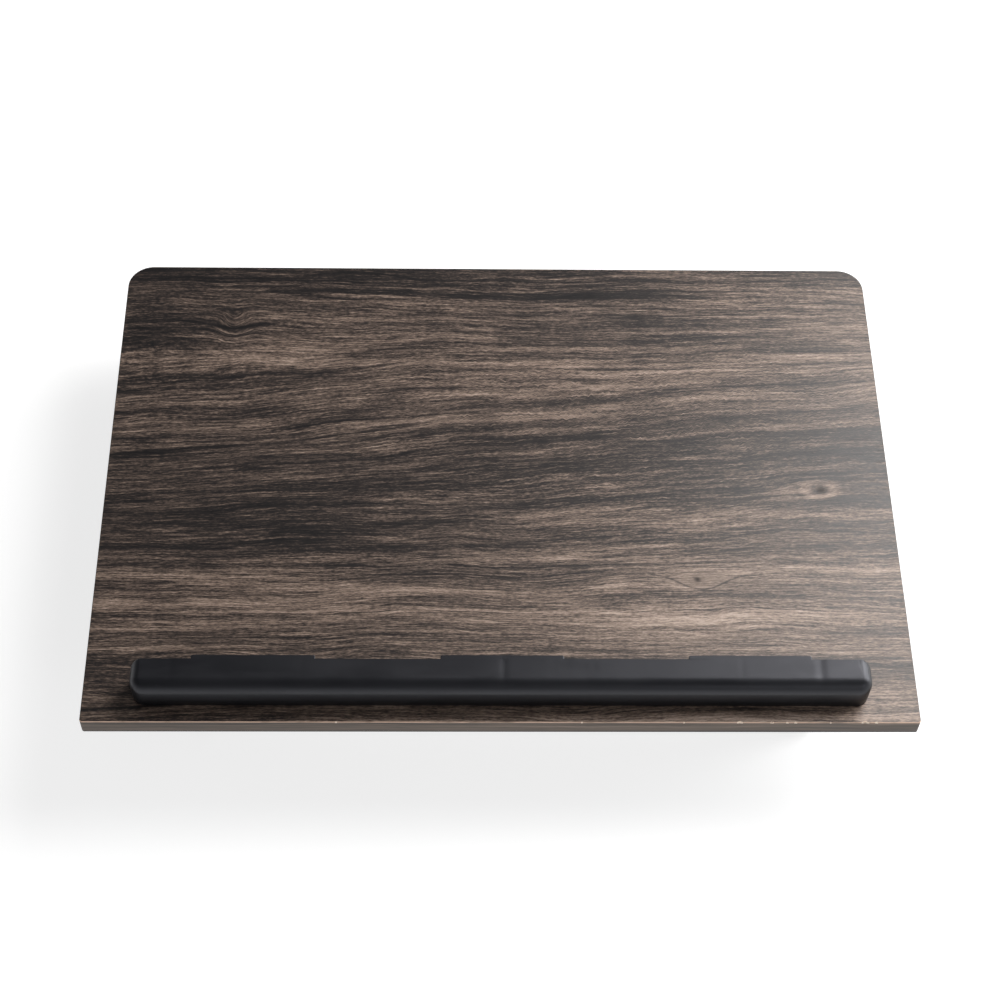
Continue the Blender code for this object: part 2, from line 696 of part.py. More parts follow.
def add_arms(builder):
    for side, sign in SIDES:
        outer_span = sorted(sign * x for x in OUTER_ARM_X)
        inner_span = sorted(sign * x for x in INNER_ARM_X)
        outer = arm((FIXED_Y, BASE_PIVOT_Z), (SLIDE_Y, TOP_PIVOT_Z), outer_span)
        inner = arm((SLIDE_Y, BASE_PIVOT_Z), (FIXED_Y, TOP_PIVOT_Z), inner_span)
        builder.add("outer_arm_" + side, outer, "black_powder_coat", "outer_arms")
        builder.add("inner_arm_" + side, inner, "black_powder_coat", "inner_arms")
        add_centre_bolt(builder, "centre_bolt_" + side, sign)
    slope = (TOP_PIVOT_Z - BASE_PIVOT_Z) / ARM_LENGTH
    along = math.sqrt(1 - slope ** 2)
    place = (FIXED_Y - CROSS_TUBE_OFFSET * along, TOP_PIVOT_Z - CROSS_TUBE_OFFSET * slope)
    reach = INNER_ARM_X[0] - GAP
    cross = chamfered_rod("X", place, CROSS_TUBE_RADIUS, -reach, reach)
    builder.add("inner_cross_tube", cross, "black_powder_coat", "inner_arms", smooth=True)


def add_centre_bolt(builder, name, sign):
    """Shouldered bolt: outer head, spacer collar between the arms, inner nut."""
    shank = CENTRE_BOLT_RADIUS
    head = BOLT_HEAD_RADIUS
    nut_face = INNER_ARM_X[0] - GAP
    collar = (INNER_ARM_X[1] + GAP, OUTER_ARM_X[0] - GAP)
    head_face = OUTER_ARM_X[1] + GAP
    stations = (
        (nut_face - NUT_HEIGHT, head - NUT_CHAMFER), (nut_face - NUT_HEIGHT + NUT_CHAMFER, head),
        (nut_face, head), (nut_face, shank),
        (collar[0], shank), (collar[0], head), (collar[1], head), (collar[1], shank),
        (head_face, shank), (head_face, head),
        (head_face + BOLT_HEAD_RIM, head), (head_face + BOLT_HEAD_HEIGHT, head - BOLT_HEAD_CHAMFER),
    )
    profile = [(sign * x, radius) for x, radius in stations]
    bolt = turned("X", (CENTRE_Y, CENTRE_Z), profile, 16)
    builder.add(name, bolt, "zinc_plated_steel", "outer_arms", smooth=True)


def add_shafts(builder):
    """Four full-width shafts. Fixed ones show outside the rails, slide ones end in the shoes."""
    fixed_reach = RAIL_X[1] + SHAFT_STAND_OUT
    slide_reach = SHOE_X[1] - SHAFT_SHOE_INSET
    shafts = (
        ("rear_pivot_shaft", "outer_arms", FIXED_Y, BASE_PIVOT_Z, fixed_reach),
        ("top_pivot_shaft", "inner_arms", FIXED_Y, TOP_PIVOT_Z, fixed_reach),
        ("lower_slide_shaft", "lower_carriage", SLIDE_Y, BASE_PIVOT_Z, slide_reach),
        ("upper_slide_shaft", "upper_carriage", SLIDE_Y, TOP_PIVOT_Z, slide_reach),
    )
    for name, body, y, z, reach in shafts:
        shaft = chamfered_rod("X", (y, z), SHAFT_RADIUS, -reach, reach)
        builder.add(name, shaft, "zinc_plated_steel", body, smooth=True)


def add_shoes(builder):
    half_height = RAIL_HEIGHT / 2 - RAIL_WALL - GAP
    levels = (("lower", "lower_carriage", BASE_PIVOT_Z), ("upper", "upper_carriage", TOP_PIVOT_Z))
    for level, body, z in levels:
        span_y = (SLIDE_Y - SHOE_HALF_LENGTH, SLIDE_Y + SHOE_HALF_LENGTH)
        outline = rounded_rectangle(span_y, (z - half_height, z + half_height), (SHOE_CORNER,) * 4, 4)
        bore = circle((SLIDE_Y, z), SHAFT_RADIUS + GAP)
        for side, sign in SIDES:
            shoe = prism(outline, "X", *sorted(sign * x for x in SHOE_X), [bore])
            builder.add("%s_shoe_%s" % (level, side), shoe, "nylon", body)


# -------------------------------------------------------------- height lock

def add_lock(builder):
    add_lock_rod(builder)
    add_lock_housing(builder)
    add_lock_plate(builder)
    add_release_link(builder)
    add_lever_bracket(builder)
    add_release_lever(builder)


def add_lock_rod(builder):
    """Rod with an eye round the upper slide shaft."""
    half = LOCK_EYE_WIDTH / 2
    eye = prism(
        circle((SLIDE_Y, TOP_PIVOT_Z), LOCK_EYE_RADIUS), "X", LOCK_X - half, LOCK_X + half,
        [circle((SLIDE_Y, TOP_PIVOT_Z), SHAFT_RADIUS + GAP)],
    )
    rod = builder.add("lock_rod", eye, "zinc_plated_steel", "upper_carriage", smooth=True)
    start = SLIDE_Y + (SHAFT_RADIUS + LOCK_EYE_RADIUS) / 2
    profile = [
        (start, LOCK_ROD_RADIUS), (LOCK_ROD_END_Y - LOCK_ROD_CHAMFER, LOCK_ROD_RADIUS),
        (LOCK_ROD_END_Y, LOCK_ROD_RADIUS - LOCK_ROD_CHAMFER),
    ]
    shank = turned("Y", (LOCK_X, TOP_PIVOT_Z), profile, 24)
    builder.join(rod, "lock_rod_shank", shank, "upper_carriage")


def add_lock_housing(builder):
    """Bent bracket under the mid bar, with a shelf for the plate's foot."""
    wall = HOUSING_WALL
    back = PLATE_FOOT_Y + PLATE_BACK_GAP
    shelf = PLATE_FOOT_Z - SHELF_DROP
    lip = PLATE_FOOT_Y - SHELF_REACH
    lip_thickness, lip_height = HOUSING_LIP
    top = MID_BAR_Z[0] - GAP
    flange = top - HOUSING_FLANGE
    outline = [
        (lip, shelf - wall), (back + wall, shelf - wall), (back + wall, flange), (MID_BAR_Y[1], flange),
        (MID_BAR_Y[1], top), (back, top), (back, shelf), (lip + lip_thickness, shelf),
        (lip + lip_thickness, shelf + lip_height), (lip, shelf + lip_height),
    ]
    solid = prism(outline, "X", LOCK_X - HOUSING_HALF_WIDTH, LOCK_X + HOUSING_HALF_WIDTH)
    housing = builder.add("lock_housing", solid, "black_powder_coat", "top_frame")
    hole = circle((LOCK_X, TOP_PIVOT_Z), LOCK_ROD_RADIUS + LOCK_ROD_HOLE_SLACK, 24)
    bore = prism(hole, "Y", back - CUT_OVERRUN, back + wall + CUT_OVERRUN)
    builder.cut(housing, "cut_lock_housing", bore, "top_frame")


def add_lock_plate(builder):
    """Plate that leans on the rod at rest. It stands upright when released."""
    half = PLATE_THICKNESS / 2
    width = (LOCK_X - PLATE_HALF_WIDTH, LOCK_X + PLATE_HALF_WIDTH)
    outline = rounded_rectangle(width, PLATE_Z, (PLATE_CORNER,) * 4, 4)
    bore = circle((LOCK_X, TOP_PIVOT_Z), LOCK_ROD_RADIUS + PLATE_HOLE_SLACK, 24)
    plate = prism(outline, "Y", PLATE_FOOT_Y - half, PLATE_FOOT_Y + half, [bore])
    foot = Vector((LOCK_X, PLATE_FOOT_Y, PLATE_FOOT_Z))
    lean = Matrix.Rotation(PLATE_TILT, 3, "X")
    bmesh.ops.rotate(plate, verts=plate.verts, cent=foot, matrix=lean)
    builder.add("lock_plate", plate, "zinc_plated_steel", "lock_plate")


def add_release_link(builder):
    rise = LINK_Z - PLATE_FOOT_Z
    face = PLATE_FOOT_Y - rise * math.tan(PLATE_TILT) - PLATE_THICKNESS / 2
    end = face - LINK_PLATE_GAP
    start = LEVER_Y + LINK_LEVER_GAP
    button = end - LINK_BUTTON_LENGTH
    wide = LINK_BUTTON_RADIUS
    profile = [(start, LINK_RADIUS), (button, LINK_RADIUS), (button, wide), (end, wide)]
    link = turned("Y", (LOCK_X, LINK_Z), profile, 20)
    builder.add("release_link", link, "zinc_plated_steel", "release_link", smooth=True)


def add_lever_bracket(builder):
    """Back plate on the front bar with two cheeks that carry the lever's pin."""
    face = FRONT_BAR_Y[1] + GAP
    wall = BRACKET_WALL
    inner = BRACKET_HALF_GAP
    low = LEVER_Z + BRACKET_RISE
    top = BAR_Z[1] - BRACKET_DROP
    reach = inner + wall
    plate = prism(rectangle((face, face + wall), (low, top)), "X", LOCK_X - reach, LOCK_X + reach)
    bracket = builder.add("lever_bracket", plate, "black_powder_coat", "top_frame")
    round_end = arc((LEVER_Y, LEVER_Z), BRACKET_LOBE, 200, 360, 12)
    outline = [(face, top), (face, low)] + round_end + [(LEVER_Y + BRACKET_LOBE, LEVER_Z + BRACKET_HEAD)]
    bore = circle((LEVER_Y, LEVER_Z), LEVER_BORE_RADIUS, 20)
    for side, sign in SIDES:
        span = sorted((LOCK_X + sign * inner, LOCK_X + sign * (inner + wall)))
        builder.join(bracket, "lever_cheek_" + side, prism(outline, "X", *span, [bore]), "top_frame")


def add_release_lever(builder):
    """Bell crank: hub, upright arm behind the front bar and a finger paddle below it."""
    span = (LOCK_X - LEVER_HALF_WIDTH, LOCK_X + LEVER_HALF_WIDTH)
    arm_y = (LEVER_Y - LEVER_ARM_HALF, LEVER_Y + LEVER_ARM_HALF)
    upright = rounded_rectangle(arm_y, (LEVER_Z, LINK_Z + LEVER_ARM_RISE), (LEVER_ARM_CORNER,) * 4, 3)
    lever = builder.add("release_lever", prism(upright, "X", *span), "black_powder_coat", "release_lever")
    hub = prism(circle((LEVER_Y, LEVER_Z), LEVER_HUB_RADIUS, 24), "X", *span)
    builder.join(lever, "release_lever_hub", hub, "release_lever")
    root = PADDLE_Y[1] - PADDLE_OVERLAP
    neck = [
        (root, PADDLE_Z[0]), (LEVER_Y + NECK_FOOT, PADDLE_Z[0]), (LEVER_Y + NECK_HALF, LEVER_Z - NECK_SKEW),
        (LEVER_Y - NECK_HALF, LEVER_Z + NECK_SKEW), (root, PADDLE_Z[1]),
    ]
    builder.join(lever, "release_lever_neck", prism(neck, "X", *span), "release_lever")
    width = (LOCK_X - PADDLE_WIDTH / 2, LOCK_X + PADDLE_WIDTH / 2)
    paddle = prism(rounded_rectangle(width, PADDLE_Y, PADDLE_CORNERS, 6), "Z", *PADDLE_Z)
    builder.join(lever, "release_lever_paddle", paddle, "release_lever")
    ends = (LOCK_X - LEVER_PIN_HALF_LENGTH, LOCK_X + LEVER_PIN_HALF_LENGTH)
    pin = chamfered_rod("X", (LEVER_Y, LEVER_Z), LEVER_PIN_RADIUS, *ends, PIN_CHAMFER, 20)
    builder.join(lever, "release_lever_pin", pin, "release_lever")


def main():
    clear_scene()
    builder = Builder()
    drill = add_board(builder)
    add_ledge(builder, drill)
    add_stay(builder)
    add_top_frame(builder)
    add_base(builder)
    add_arms(builder)
    add_shafts(builder)
    add_shoes(builder)
    add_lock(builder)


main()
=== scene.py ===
"""Looks of the standing desk converter: walnut board, soft-touch ledge and scissor lift."""

import json
import math

import bmesh
import bpy
from mathutils import Matrix, Vector, noise


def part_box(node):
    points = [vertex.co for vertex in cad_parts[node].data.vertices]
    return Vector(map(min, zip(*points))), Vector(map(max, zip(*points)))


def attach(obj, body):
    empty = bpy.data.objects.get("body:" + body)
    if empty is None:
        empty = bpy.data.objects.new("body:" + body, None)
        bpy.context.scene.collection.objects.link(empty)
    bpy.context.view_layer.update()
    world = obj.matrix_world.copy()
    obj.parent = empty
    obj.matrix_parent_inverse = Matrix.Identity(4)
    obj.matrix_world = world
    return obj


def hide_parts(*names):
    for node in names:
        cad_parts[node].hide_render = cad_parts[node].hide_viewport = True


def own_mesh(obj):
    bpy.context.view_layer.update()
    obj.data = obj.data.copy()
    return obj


MM = 0.001
SIDES = (("left", -1), ("right", 1))

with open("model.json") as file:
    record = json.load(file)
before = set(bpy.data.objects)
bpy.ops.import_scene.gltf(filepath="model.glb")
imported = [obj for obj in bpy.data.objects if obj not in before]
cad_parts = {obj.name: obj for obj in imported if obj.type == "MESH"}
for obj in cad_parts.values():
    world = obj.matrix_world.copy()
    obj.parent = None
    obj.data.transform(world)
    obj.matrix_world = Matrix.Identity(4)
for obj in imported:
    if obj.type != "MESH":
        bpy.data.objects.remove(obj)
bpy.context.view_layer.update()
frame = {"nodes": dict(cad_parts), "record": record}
NODES = frame["nodes"]
BODY_OF = {node: body for body, nodes in frame["record"]["behaviour"]["bodies"].items() for node in nodes}
SLOT_OF = {entry["node"]: entry["material_slot"] for entry in frame["record"]["subparts"]}


def box_of(node):
    low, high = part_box(node)
    return Vector(low), Vector(high)


def centre(node):
    low, high = box_of(node)
    return (low + high) / 2


BOARD_LOW, BOARD_HIGH = box_of("edge_band")
LEDGE_LOW, LEDGE_HIGH = box_of("ledge_cover")
TOP_Z = BOARD_HIGH.z


# ------------------------------------------------------------ node material kit

# Sockets of the Mix node that carry colours
MIX_FIRST_COLOUR, MIX_SECOND_COLOUR, MIX_RESULT_COLOUR = 6, 7, 2


class Shader:
    """A Principled material whose inputs are built from short calls."""

    def __init__(self, name):
        self.material = bpy.data.materials.new(name)
        self.material.use_nodes = True
        self.tree = self.material.node_tree
        self.principled = self.tree.nodes["Principled BSDF"]
        self.coords = self.tree.nodes.new("ShaderNodeTexCoord").outputs["Object"]

    def new(self, kind, **settings):
        made = self.tree.nodes.new(kind)
        for key, value in settings.items():
            setattr(made, key, value)
        return made

    def feed(self, socket, value):
        if isinstance(value, bpy.types.NodeSocket):
            self.tree.links.new(value, socket)
        elif isinstance(value, tuple) and socket.type == "RGBA" and len(value) == 3:
            socket.default_value = (*value, 1.0)
        else:
            socket.default_value = value

    def math(self, operation, first, second=0.0):
        made = self.new("ShaderNodeMath", operation=operation)
        for socket, value in zip(made.inputs, (first, second)):
            self.feed(socket, value)
        return made.outputs[0]

    def add(self, first, second):
        return self.math("ADD", first, second)

    def sub(self, first, second):
        return self.math("SUBTRACT", first, second)

    def mul(self, first, second):
        return self.math("MULTIPLY", first, second)

    def spread(self, value, low, high, to_low=0.0, to_high=1.0):
        made = self.new("ShaderNodeMapRange", interpolation_type="SMOOTHSTEP")
        made.clamp = True
        for name, number in (("From Min", low), ("From Max", high), ("To Min", to_low), ("To Max", to_high)):
            made.inputs[name].default_value = number
        self.feed(made.inputs["Value"], value)
        return made.outputs["Result"]

    def hill(self, value, middle, width):
        """A smooth bump of height 1 round a middle value."""
        off = self.mul(self.sub(value, middle), 1.0 / width)
        return self.math("EXPONENT", self.mul(self.mul(off, off), -1.0))

    def centred(self, value, gain):
        """A 0 to 1 texture turned into one that swings round 0."""
        return self.mul(self.sub(value, 0.5), gain)

    def split(self, vector):
        made = self.new("ShaderNodeSeparateXYZ")
        self.feed(made.inputs[0], vector)
        return made.outputs

    def join(self, x, y, z):
        made = self.new("ShaderNodeCombineXYZ")
        for socket, value in zip(made.inputs, (x, y, z)):
            self.feed(socket, value)
        return made.outputs[0]

    def scaled(self, vector, scale):
        made = self.new("ShaderNodeMapping")
        self.feed(made.inputs["Vector"], vector)
        made.inputs["Scale"].default_value = scale
        return made.outputs[0]

    def noise(self, vector, scale=1.0, detail=2.0, roughness=0.5):
        made = self.new("ShaderNodeTexNoise")
        self.feed(made.inputs["Vector"], vector)
        made.inputs["Scale"].default_value = scale
        made.inputs["Detail"].default_value = detail
        made.inputs["Roughness"].default_value = roughness
        return made.outputs["Fac"]

    def voronoi(self, vector, scale):
        made = self.new("ShaderNodeTexVoronoi")
        self.feed(made.inputs["Vector"], vector)
        made.inputs["Scale"].default_value = scale
        return made.outputs["Distance"]

    def mix(self, factor, first, second):
        made = self.new("ShaderNodeMix", data_type="RGBA")
        self.feed(made.inputs["Factor"], factor)
        self.feed(made.inputs[MIX_FIRST_COLOUR], first)
        self.feed(made.inputs[MIX_SECOND_COLOUR], second)
        return made.outputs[MIX_RESULT_COLOUR]

    def ramp(self, value, stops):
        made = self.new("ShaderNodeValToRGB")
        elements = made.color_ramp.elements
        while len(elements) < len(stops):
            elements.new(0.5)
        for element, (place, colour) in zip(elements, stops):
            element.position = place
            element.color = (*colour, 1.0)
        self.feed(made.inputs[0], value)
        return made.outputs[0]

    def bump(self, height, distance, strength):
        made = self.new("ShaderNodeBump")
        self.feed(made.inputs["Height"], height)
        made.inputs["Distance"].default_value = distance
        made.inputs["Strength"].default_value = strength
        return made.outputs[0]

    def finish(self, **inputs):
        for key, value in inputs.items():
            self.feed(self.principled.inputs[key.replace("_", " ").title().replace("Ior", "IOR")], value)
        return self.material


# --------------------------------------------------------------------- materials

# The print's features, in metres on the board's top
KNOTS = (
    # x, y, half length, half width, how far the grain parts, how dark its eye is
    (0.147, -0.090, 0.020, 0.0070, 0.80, 0.90),
    (0.247, -0.009, 0.026, 0.0080, 0.85, 0.58),
)
NOTCH = (-0.212, 0.146)
CURLY = ((0.130, 0.190), (0.070, 0.062))    # middle and reach in x, then in y
SWELLS = (
    # slow wander of the grain: texture scale in x and y, detail, height
    ((4.5, 9.0, 1.0), 2.0, 0.025),
    ((14.0, 42.0, 1.0), 2.0, 0.0060),
    ((60.0, 150.0, 1.0), 1.0, 0.0010),
)
LAYERS = {
    # noise per metre along and across the grain, slice, detail, roughness, gain
    "zones": (1.6, 15.0, 0.0, 2.0, 0.50, 0.72),
    "bands": (3.6, 78.0, 3.0, 3.0, 0.60, 1.15),
    "streaks": (9.5, 300.0, 7.0, 4.0, 0.65, 1.30),
    "threads": (30.0, 1050.0, 23.0, 2.0, 0.60, 1.25),
    "fine": (75.0, 800.0, 11.0, 3.0, 0.70, 1.15),
    "fibres": (260.0, 1300.0, 17.0, 2.0, 0.65, 1.30),
}
BROAD_BANDS = (
    # place across the grain, reach, how much lighter (darker below 0)
    (-0.112, 0.048, 0.270), (-0.022, 0.045, -0.125), (0.105, 0.065, 0.105),
)
WALNUT_MEAN = 0.462
WALNUT_TINTS = (
    (-0.25, (0.0062, 0.0056, 0.0060)),
    (0.10, (0.0115, 0.0097, 0.0097)),
    (0.30, (0.0245, 0.0188, 0.0170)),
    (0.47, (0.0580, 0.0424, 0.0350)),
    (0.64, (0.1180, 0.0850, 0.0672)),
    (0.82, (0.1980, 0.1440, 0.1130)),
    (1.05, (0.3050, 0.2280, 0.1820)),
    (1.30, (0.4300, 0.3350, 0.2750)),
)
TINT_SQUEEZE = 0.60                         # brings the tints' range between a ramp's ends
PORE_TINT = (0.0130, 0.0110, 0.0105)
EYE_TINT = (0.0170, 0.0150, 0.0145)


def wandering_grain(s, x, y):
    """The across-grain coordinate: fanned, slowly swelling, and sagging at the notch."""
    rise = s.sub(s.mul(s.hill(y, 0.030, 0.105), 0.088), s.mul(s.hill(y, 0.160, 0.050), 0.030))
    v = s.sub(y, s.mul(x, rise))
    for scale, detail, height in SWELLS:
        v = s.add(v, s.centred(s.noise(s.scaled(s.coords, scale), detail=detail), height))
    nx, ny = NOTCH
    dip = s.mul(s.hill(x, nx, 0.011), s.hill(y, ny + 0.004, 0.017))
    return s.add(v, s.mul(dip, 0.0085))


def knot_fields(s, x, y):
    """How far knots push the grain aside, how dark their eyes are, and how calm the grain is round them."""
    push = eyes = calm = None
    for kx, ky, length, width, pull, dark in KNOTS:
        dx = s.mul(s.sub(x, kx), 1.0 / length)
        dy = s.mul(s.sub(y, ky), 1.0 / width)
        square = s.add(s.mul(dx, dx), s.mul(dy, dy))
        near = s.math("EXPONENT", s.mul(square, -1.0))
        shift = s.mul(s.mul(near, s.sub(y, ky)), pull)
        push = shift if push is None else s.add(push, shift)
        ex = s.mul(dx, 7.0)
        ey = s.mul(dy, 2.6)
        eye = s.mul(s.math("EXPONENT", s.mul(s.add(s.mul(ex, ex), s.mul(ey, ey)), -1.0)), dark)
        eyes = eye if eyes is None else s.math("MAXIMUM", eyes, eye)
        calm = near if calm is None else s.math("MAXIMUM", calm, near)
    return push, eyes, calm


def broad_tone(s, x, y, v):
    """Light and dark areas of the top: the print's broad bands and the pale ring round knot 2, darker towards
    the rear edge, a lighter band and painted shade on the left side, lighter towards the upper right, and
    painted light on the strip in front of the ledge.
    """
    tone = 0.0
    for place, reach, lighter in BROAD_BANDS:
        tone = s.add(tone, s.mul(s.hill(v, place, reach), lighter))
    tone = s.sub(tone, s.mul(s.spread(y, 0.165, 0.205), 0.15))
    kx, ky = KNOTS[1][:2]
    tail = s.mul(s.hill(x, kx - 0.028, 0.020), s.hill(y, ky - 0.001, 0.0065))
    across = s.mul(s.sub(x, kx - 0.002), 1.0 / 0.0125)
    up = s.mul(s.sub(y, ky + 0.0005), 1.0 / 0.0070)
    ring = s.hill(s.math("SQRT", s.add(s.mul(across, across), s.mul(up, up))), 0.95, 0.50)
    tone = s.add(tone, s.mul(s.math("MAXIMUM", s.mul(tail, 0.7), ring), 0.42))
    left = s.spread(x, 0.0, -0.28)
    tone = s.add(tone, s.mul(s.mul(s.hill(y, -0.110, 0.050), left), 0.06))
    tone = s.add(tone, s.mul(s.mul(s.hill(y, 0.150, 0.080), s.spread(x, 0.10, 0.28)), 0.09))
    # Painted shade: the left side is darkened, as the sheen of the lights on the right falls off there.
    tone = s.sub(tone, s.mul(left, 0.09))
    # Painted light: the strip in front of the ledge is lightened, more towards the right, where light reaches
    # past the ledge's shadow.
    strip_painted_light = s.add(s.mul(s.spread(x, 0.0, 0.28), 0.23), 0.18)
    return s.add(tone, s.mul(s.spread(y, -0.170, -0.197), strip_painted_light))


def drawn_marks(s, x, y):
    """The dark gash in the notch, and the thin line that sags below knot 1 in its lighter patch."""
    nx, ny = NOTCH
    curve = s.add(ny, s.mul(s.math("ABSOLUTE", s.sub(x, nx)), 0.20))
    gash = s.mul(s.hill(y, curve, 0.0018), s.hill(x, nx, 0.036))
    kx, ky = KNOTS[0][:2]
    sag = s.sub(ky + 0.006, s.mul(s.hill(x, kx + 0.003, 0.024), 0.0145))
    line = s.mul(s.hill(y, sag, 0.0008), s.hill(x, kx + 0.008, 0.040))
    patch = s.mul(s.hill(x, kx + 0.006, 0.042), s.hill(y, ky - 0.004, 0.013))
    return s.sub(s.mul(patch, 0.14), s.add(s.mul(gash, 0.66), s.mul(line, 0.42)))


def walnut_material():
    """Printed walnut laminate with its grain along X, with painted shade on its left side and painted light
    on the strip in front of the ledge.
    """
    s = Shader("walnut_print_and_painted_light")
    x, y, _ = s.split(s.coords)
    plain = wandering_grain(s, x, y)
    push, eyes, calm = knot_fields(s, x, y)
    v = s.sub(plain, push)
    (middle_x, reach_x), (middle_y, reach_y) = CURLY
    curly = s.mul(s.hill(x, middle_x, reach_x), s.hill(y, middle_y, reach_y))
    wave = s.centred(s.noise(s.join(s.mul(x, 270.0), s.mul(y, 110.0), 1.0), detail=1.0), 0.0055)
    w = s.sub(plain, s.mul(push, 0.45))
    w = s.add(w, s.mul(wave, s.add(s.mul(curly, 0.95), 0.05)))

    def layer(across, along_scale, across_scale, level, detail, roughness):
        spot = s.join(s.mul(x, along_scale), s.mul(across, across_scale), level)
        return s.noise(spot, detail=detail, roughness=roughness)

    made, swing = {}, {}
    for name, (*settings, gain) in LAYERS.items():
        made[name] = layer(v if name in ("zones", "bands") else w, *settings)
        swing[name] = s.centred(made[name], gain)
    veins = s.spread(s.math("ABSOLUTE", s.sub(layer(v, 1.5, 52.0, 41.0, 2.0, 0.45), 0.5)), 0.028, 0.004)
    veins = s.mul(veins, s.spread(layer(v, 4.0, 30.0, 47.0, 2.0, 0.5), 0.40, 0.62))
    tone = s.sub(s.add(broad_tone(s, x, y, v), WALNUT_MEAN), s.mul(veins, 0.30))
    for name in ("zones", "bands", "streaks"):
        tone = s.add(tone, swing[name])
    grain = s.add(swing["threads"], s.add(swing["fine"], swing["fibres"]))
    tone = s.add(tone, s.mul(grain, s.sub(1.0, s.mul(calm, 0.45))))
    tone = s.add(tone, drawn_marks(s, x, y))
    pores = s.spread(layer(w, 110.0, 1150.0, 29.0, 1.0, 0.5), 0.58, 0.76)
    stops = [((at - 0.5) * TINT_SQUEEZE + 0.5, tint) for at, tint in WALNUT_TINTS]
    colour = s.ramp(s.add(s.centred(tone, TINT_SQUEEZE), 0.5), stops)
    colour = s.mix(s.mul(pores, 0.55), colour, PORE_TINT)
    colour = s.mix(eyes, colour, EYE_TINT)
    relief = s.add(s.mul(made["fine"], 0.5), s.mul(pores, -0.7))
    roughness = s.add(s.centred(made["fine"], 0.16), s.spread(tone, 0.2, 0.8, 0.33, 0.38))
    roughness = s.add(roughness, s.mul(eyes, 0.5))
    return s.finish(
        base_color=colour, roughness=roughness, normal=s.bump(relief, 0.00012, 0.5), specular_ior_level=0.42,
    )


# Chips knocked out of the board's front edge
CHIPS = (
    # x in metres, size in millimetres
    (0.1700, 1.5), (0.1930, 0.8), (0.2040, 0.6), (0.2100, 0.7), (0.2600, 2.0), (0.2680, 0.8),
    (-0.1180, 0.5), (0.0570, 0.4), (0.1300, 0.4), (0.2350, 0.4),
)


def band_material():
    """Printed banding: the board's walnut, a worn pale line on its top edge, raw cream in the chips, with
    painted shade towards the bottom and on the side and rear faces.
    """
    s = Shader("walnut_banding")
    x, y, z = s.split(s.coords)
    swell = s.sub(s.noise(s.scaled(s.coords, (7.0, 7.0, 40.0)), detail=2.0), 0.5)
    across = s.add(z, s.mul(swell, 0.010))
    along = s.add(x, y)
    bands = s.noise(s.join(s.mul(along, 3.0), 0.0, s.mul(across, 190.0)), detail=3.0, roughness=0.6)
    fibres = s.noise(s.join(s.mul(along, 45.0), 5.0, s.mul(across, 1100.0)), detail=2.0, roughness=0.6)
    tone = s.add(0.02, s.add(s.mul(bands, 0.70), s.mul(fibres, 0.30)))
    colour = s.ramp(tone, (
        (0.34, (0.015, 0.011, 0.009)), (0.46, (0.056, 0.042, 0.033)),
        (0.56, (0.118, 0.089, 0.069)), (0.72, (0.225, 0.170, 0.132)),
    ))
    height = s.sub(TOP_Z, z)
    line = s.spread(height, 1.25 * MM, 0.45 * MM)
    patchy = s.spread(s.noise(s.scaled(s.coords, (60.0, 60.0, 1.0)), detail=3.0), 0.25, 0.55, 0.35, 1.0)
    front = s.spread(y, BOARD_LOW.y + 2.2 * MM, BOARD_LOW.y + 1.2 * MM)
    worn = s.mul(s.mul(line, patchy), s.add(s.mul(front, 0.93), 0.02))
    # Painted shade: the side and rear faces are darkened towards a dark brown, and the front face keeps its
    # print.
    colour = s.mix(s.sub(0.80, s.mul(front, 0.80)), colour, (0.034, 0.026, 0.021))
    # Painted shade: darker towards the bottom edge, which lies in shadow.
    shade = s.mul(s.spread(height, 9.0 * MM, 15.0 * MM), 0.72)
    colour = s.mix(shade, colour, (0.012, 0.010, 0.009))
    colour = s.mix(worn, colour, (0.66, 0.46, 0.35))
    raw = None
    for place, size in CHIPS:
        off = s.mul(s.sub(x, place), 1.0 / (size * 1.6 * MM))
        bare = s.spread(s.mul(off, off), 1.0, 0.5)
        raw = bare if raw is None else s.math("MAXIMUM", raw, bare)
    ragged = s.spread(s.noise(s.coords, 900.0, 2.0), 0.36, 0.46)
    mask = s.mul(s.mul(raw, front), s.mul(ragged, s.spread(height, 1.7 * MM, 1.1 * MM)))
    colour = s.mix(mask, colour, (0.86, 0.72, 0.58))
    return s.finish(
        base_color=colour, roughness=s.spread(fibres, 0.3, 0.7, 0.46, 0.58),
        normal=s.bump(fibres, 0.00006, 0.4), specular_ior_level=0.36,
    )


def plain_material(name, grain_scale, cloud, tints, roughness, relief):
    """A material of one colour: fine grain in its sheen and relief, broad clouds in its tint."""
    s = Shader(name)
    grain = s.noise(s.coords, grain_scale, 2.0)
    return s.finish(
        base_color=s.ramp(s.noise(s.coords, *cloud), tints),
        roughness=s.spread(grain, 0.2, 0.8, *roughness), normal=s.bump(grain, *relief),
    )


def backing_material():
    """Plain dark backing sheet with a faint orange-peel texture."""
    tints = ((0.3, (0.030, 0.028, 0.027)), (0.7, (0.042, 0.039, 0.037)))
    return plain_material("backing_sheet", 900.0, (14.0, 3.0), tints, (0.50, 0.66), (0.0001, 0.4))


def rubber_material():
    """Matt black rubber with a little dust."""
    tints = ((0.35, (0.010, 0.010, 0.010)), (0.8, (0.030, 0.029, 0.028)))
    return plain_material("black_rubber", 1800.0, (55.0, 5.0, 0.7), tints, (0.72, 0.92), (0.0001, 0.5))


def plastic_material():
    """Black moulded plastic with a fine spark-eroded texture."""
    tints = ((0.3, (0.014, 0.014, 0.015)), (0.7, (0.020, 0.020, 0.021)))
    return plain_material("moulded_plastic", 1300.0, (30.0, 3.0), tints, (0.38, 0.50), (0.00008, 0.4))


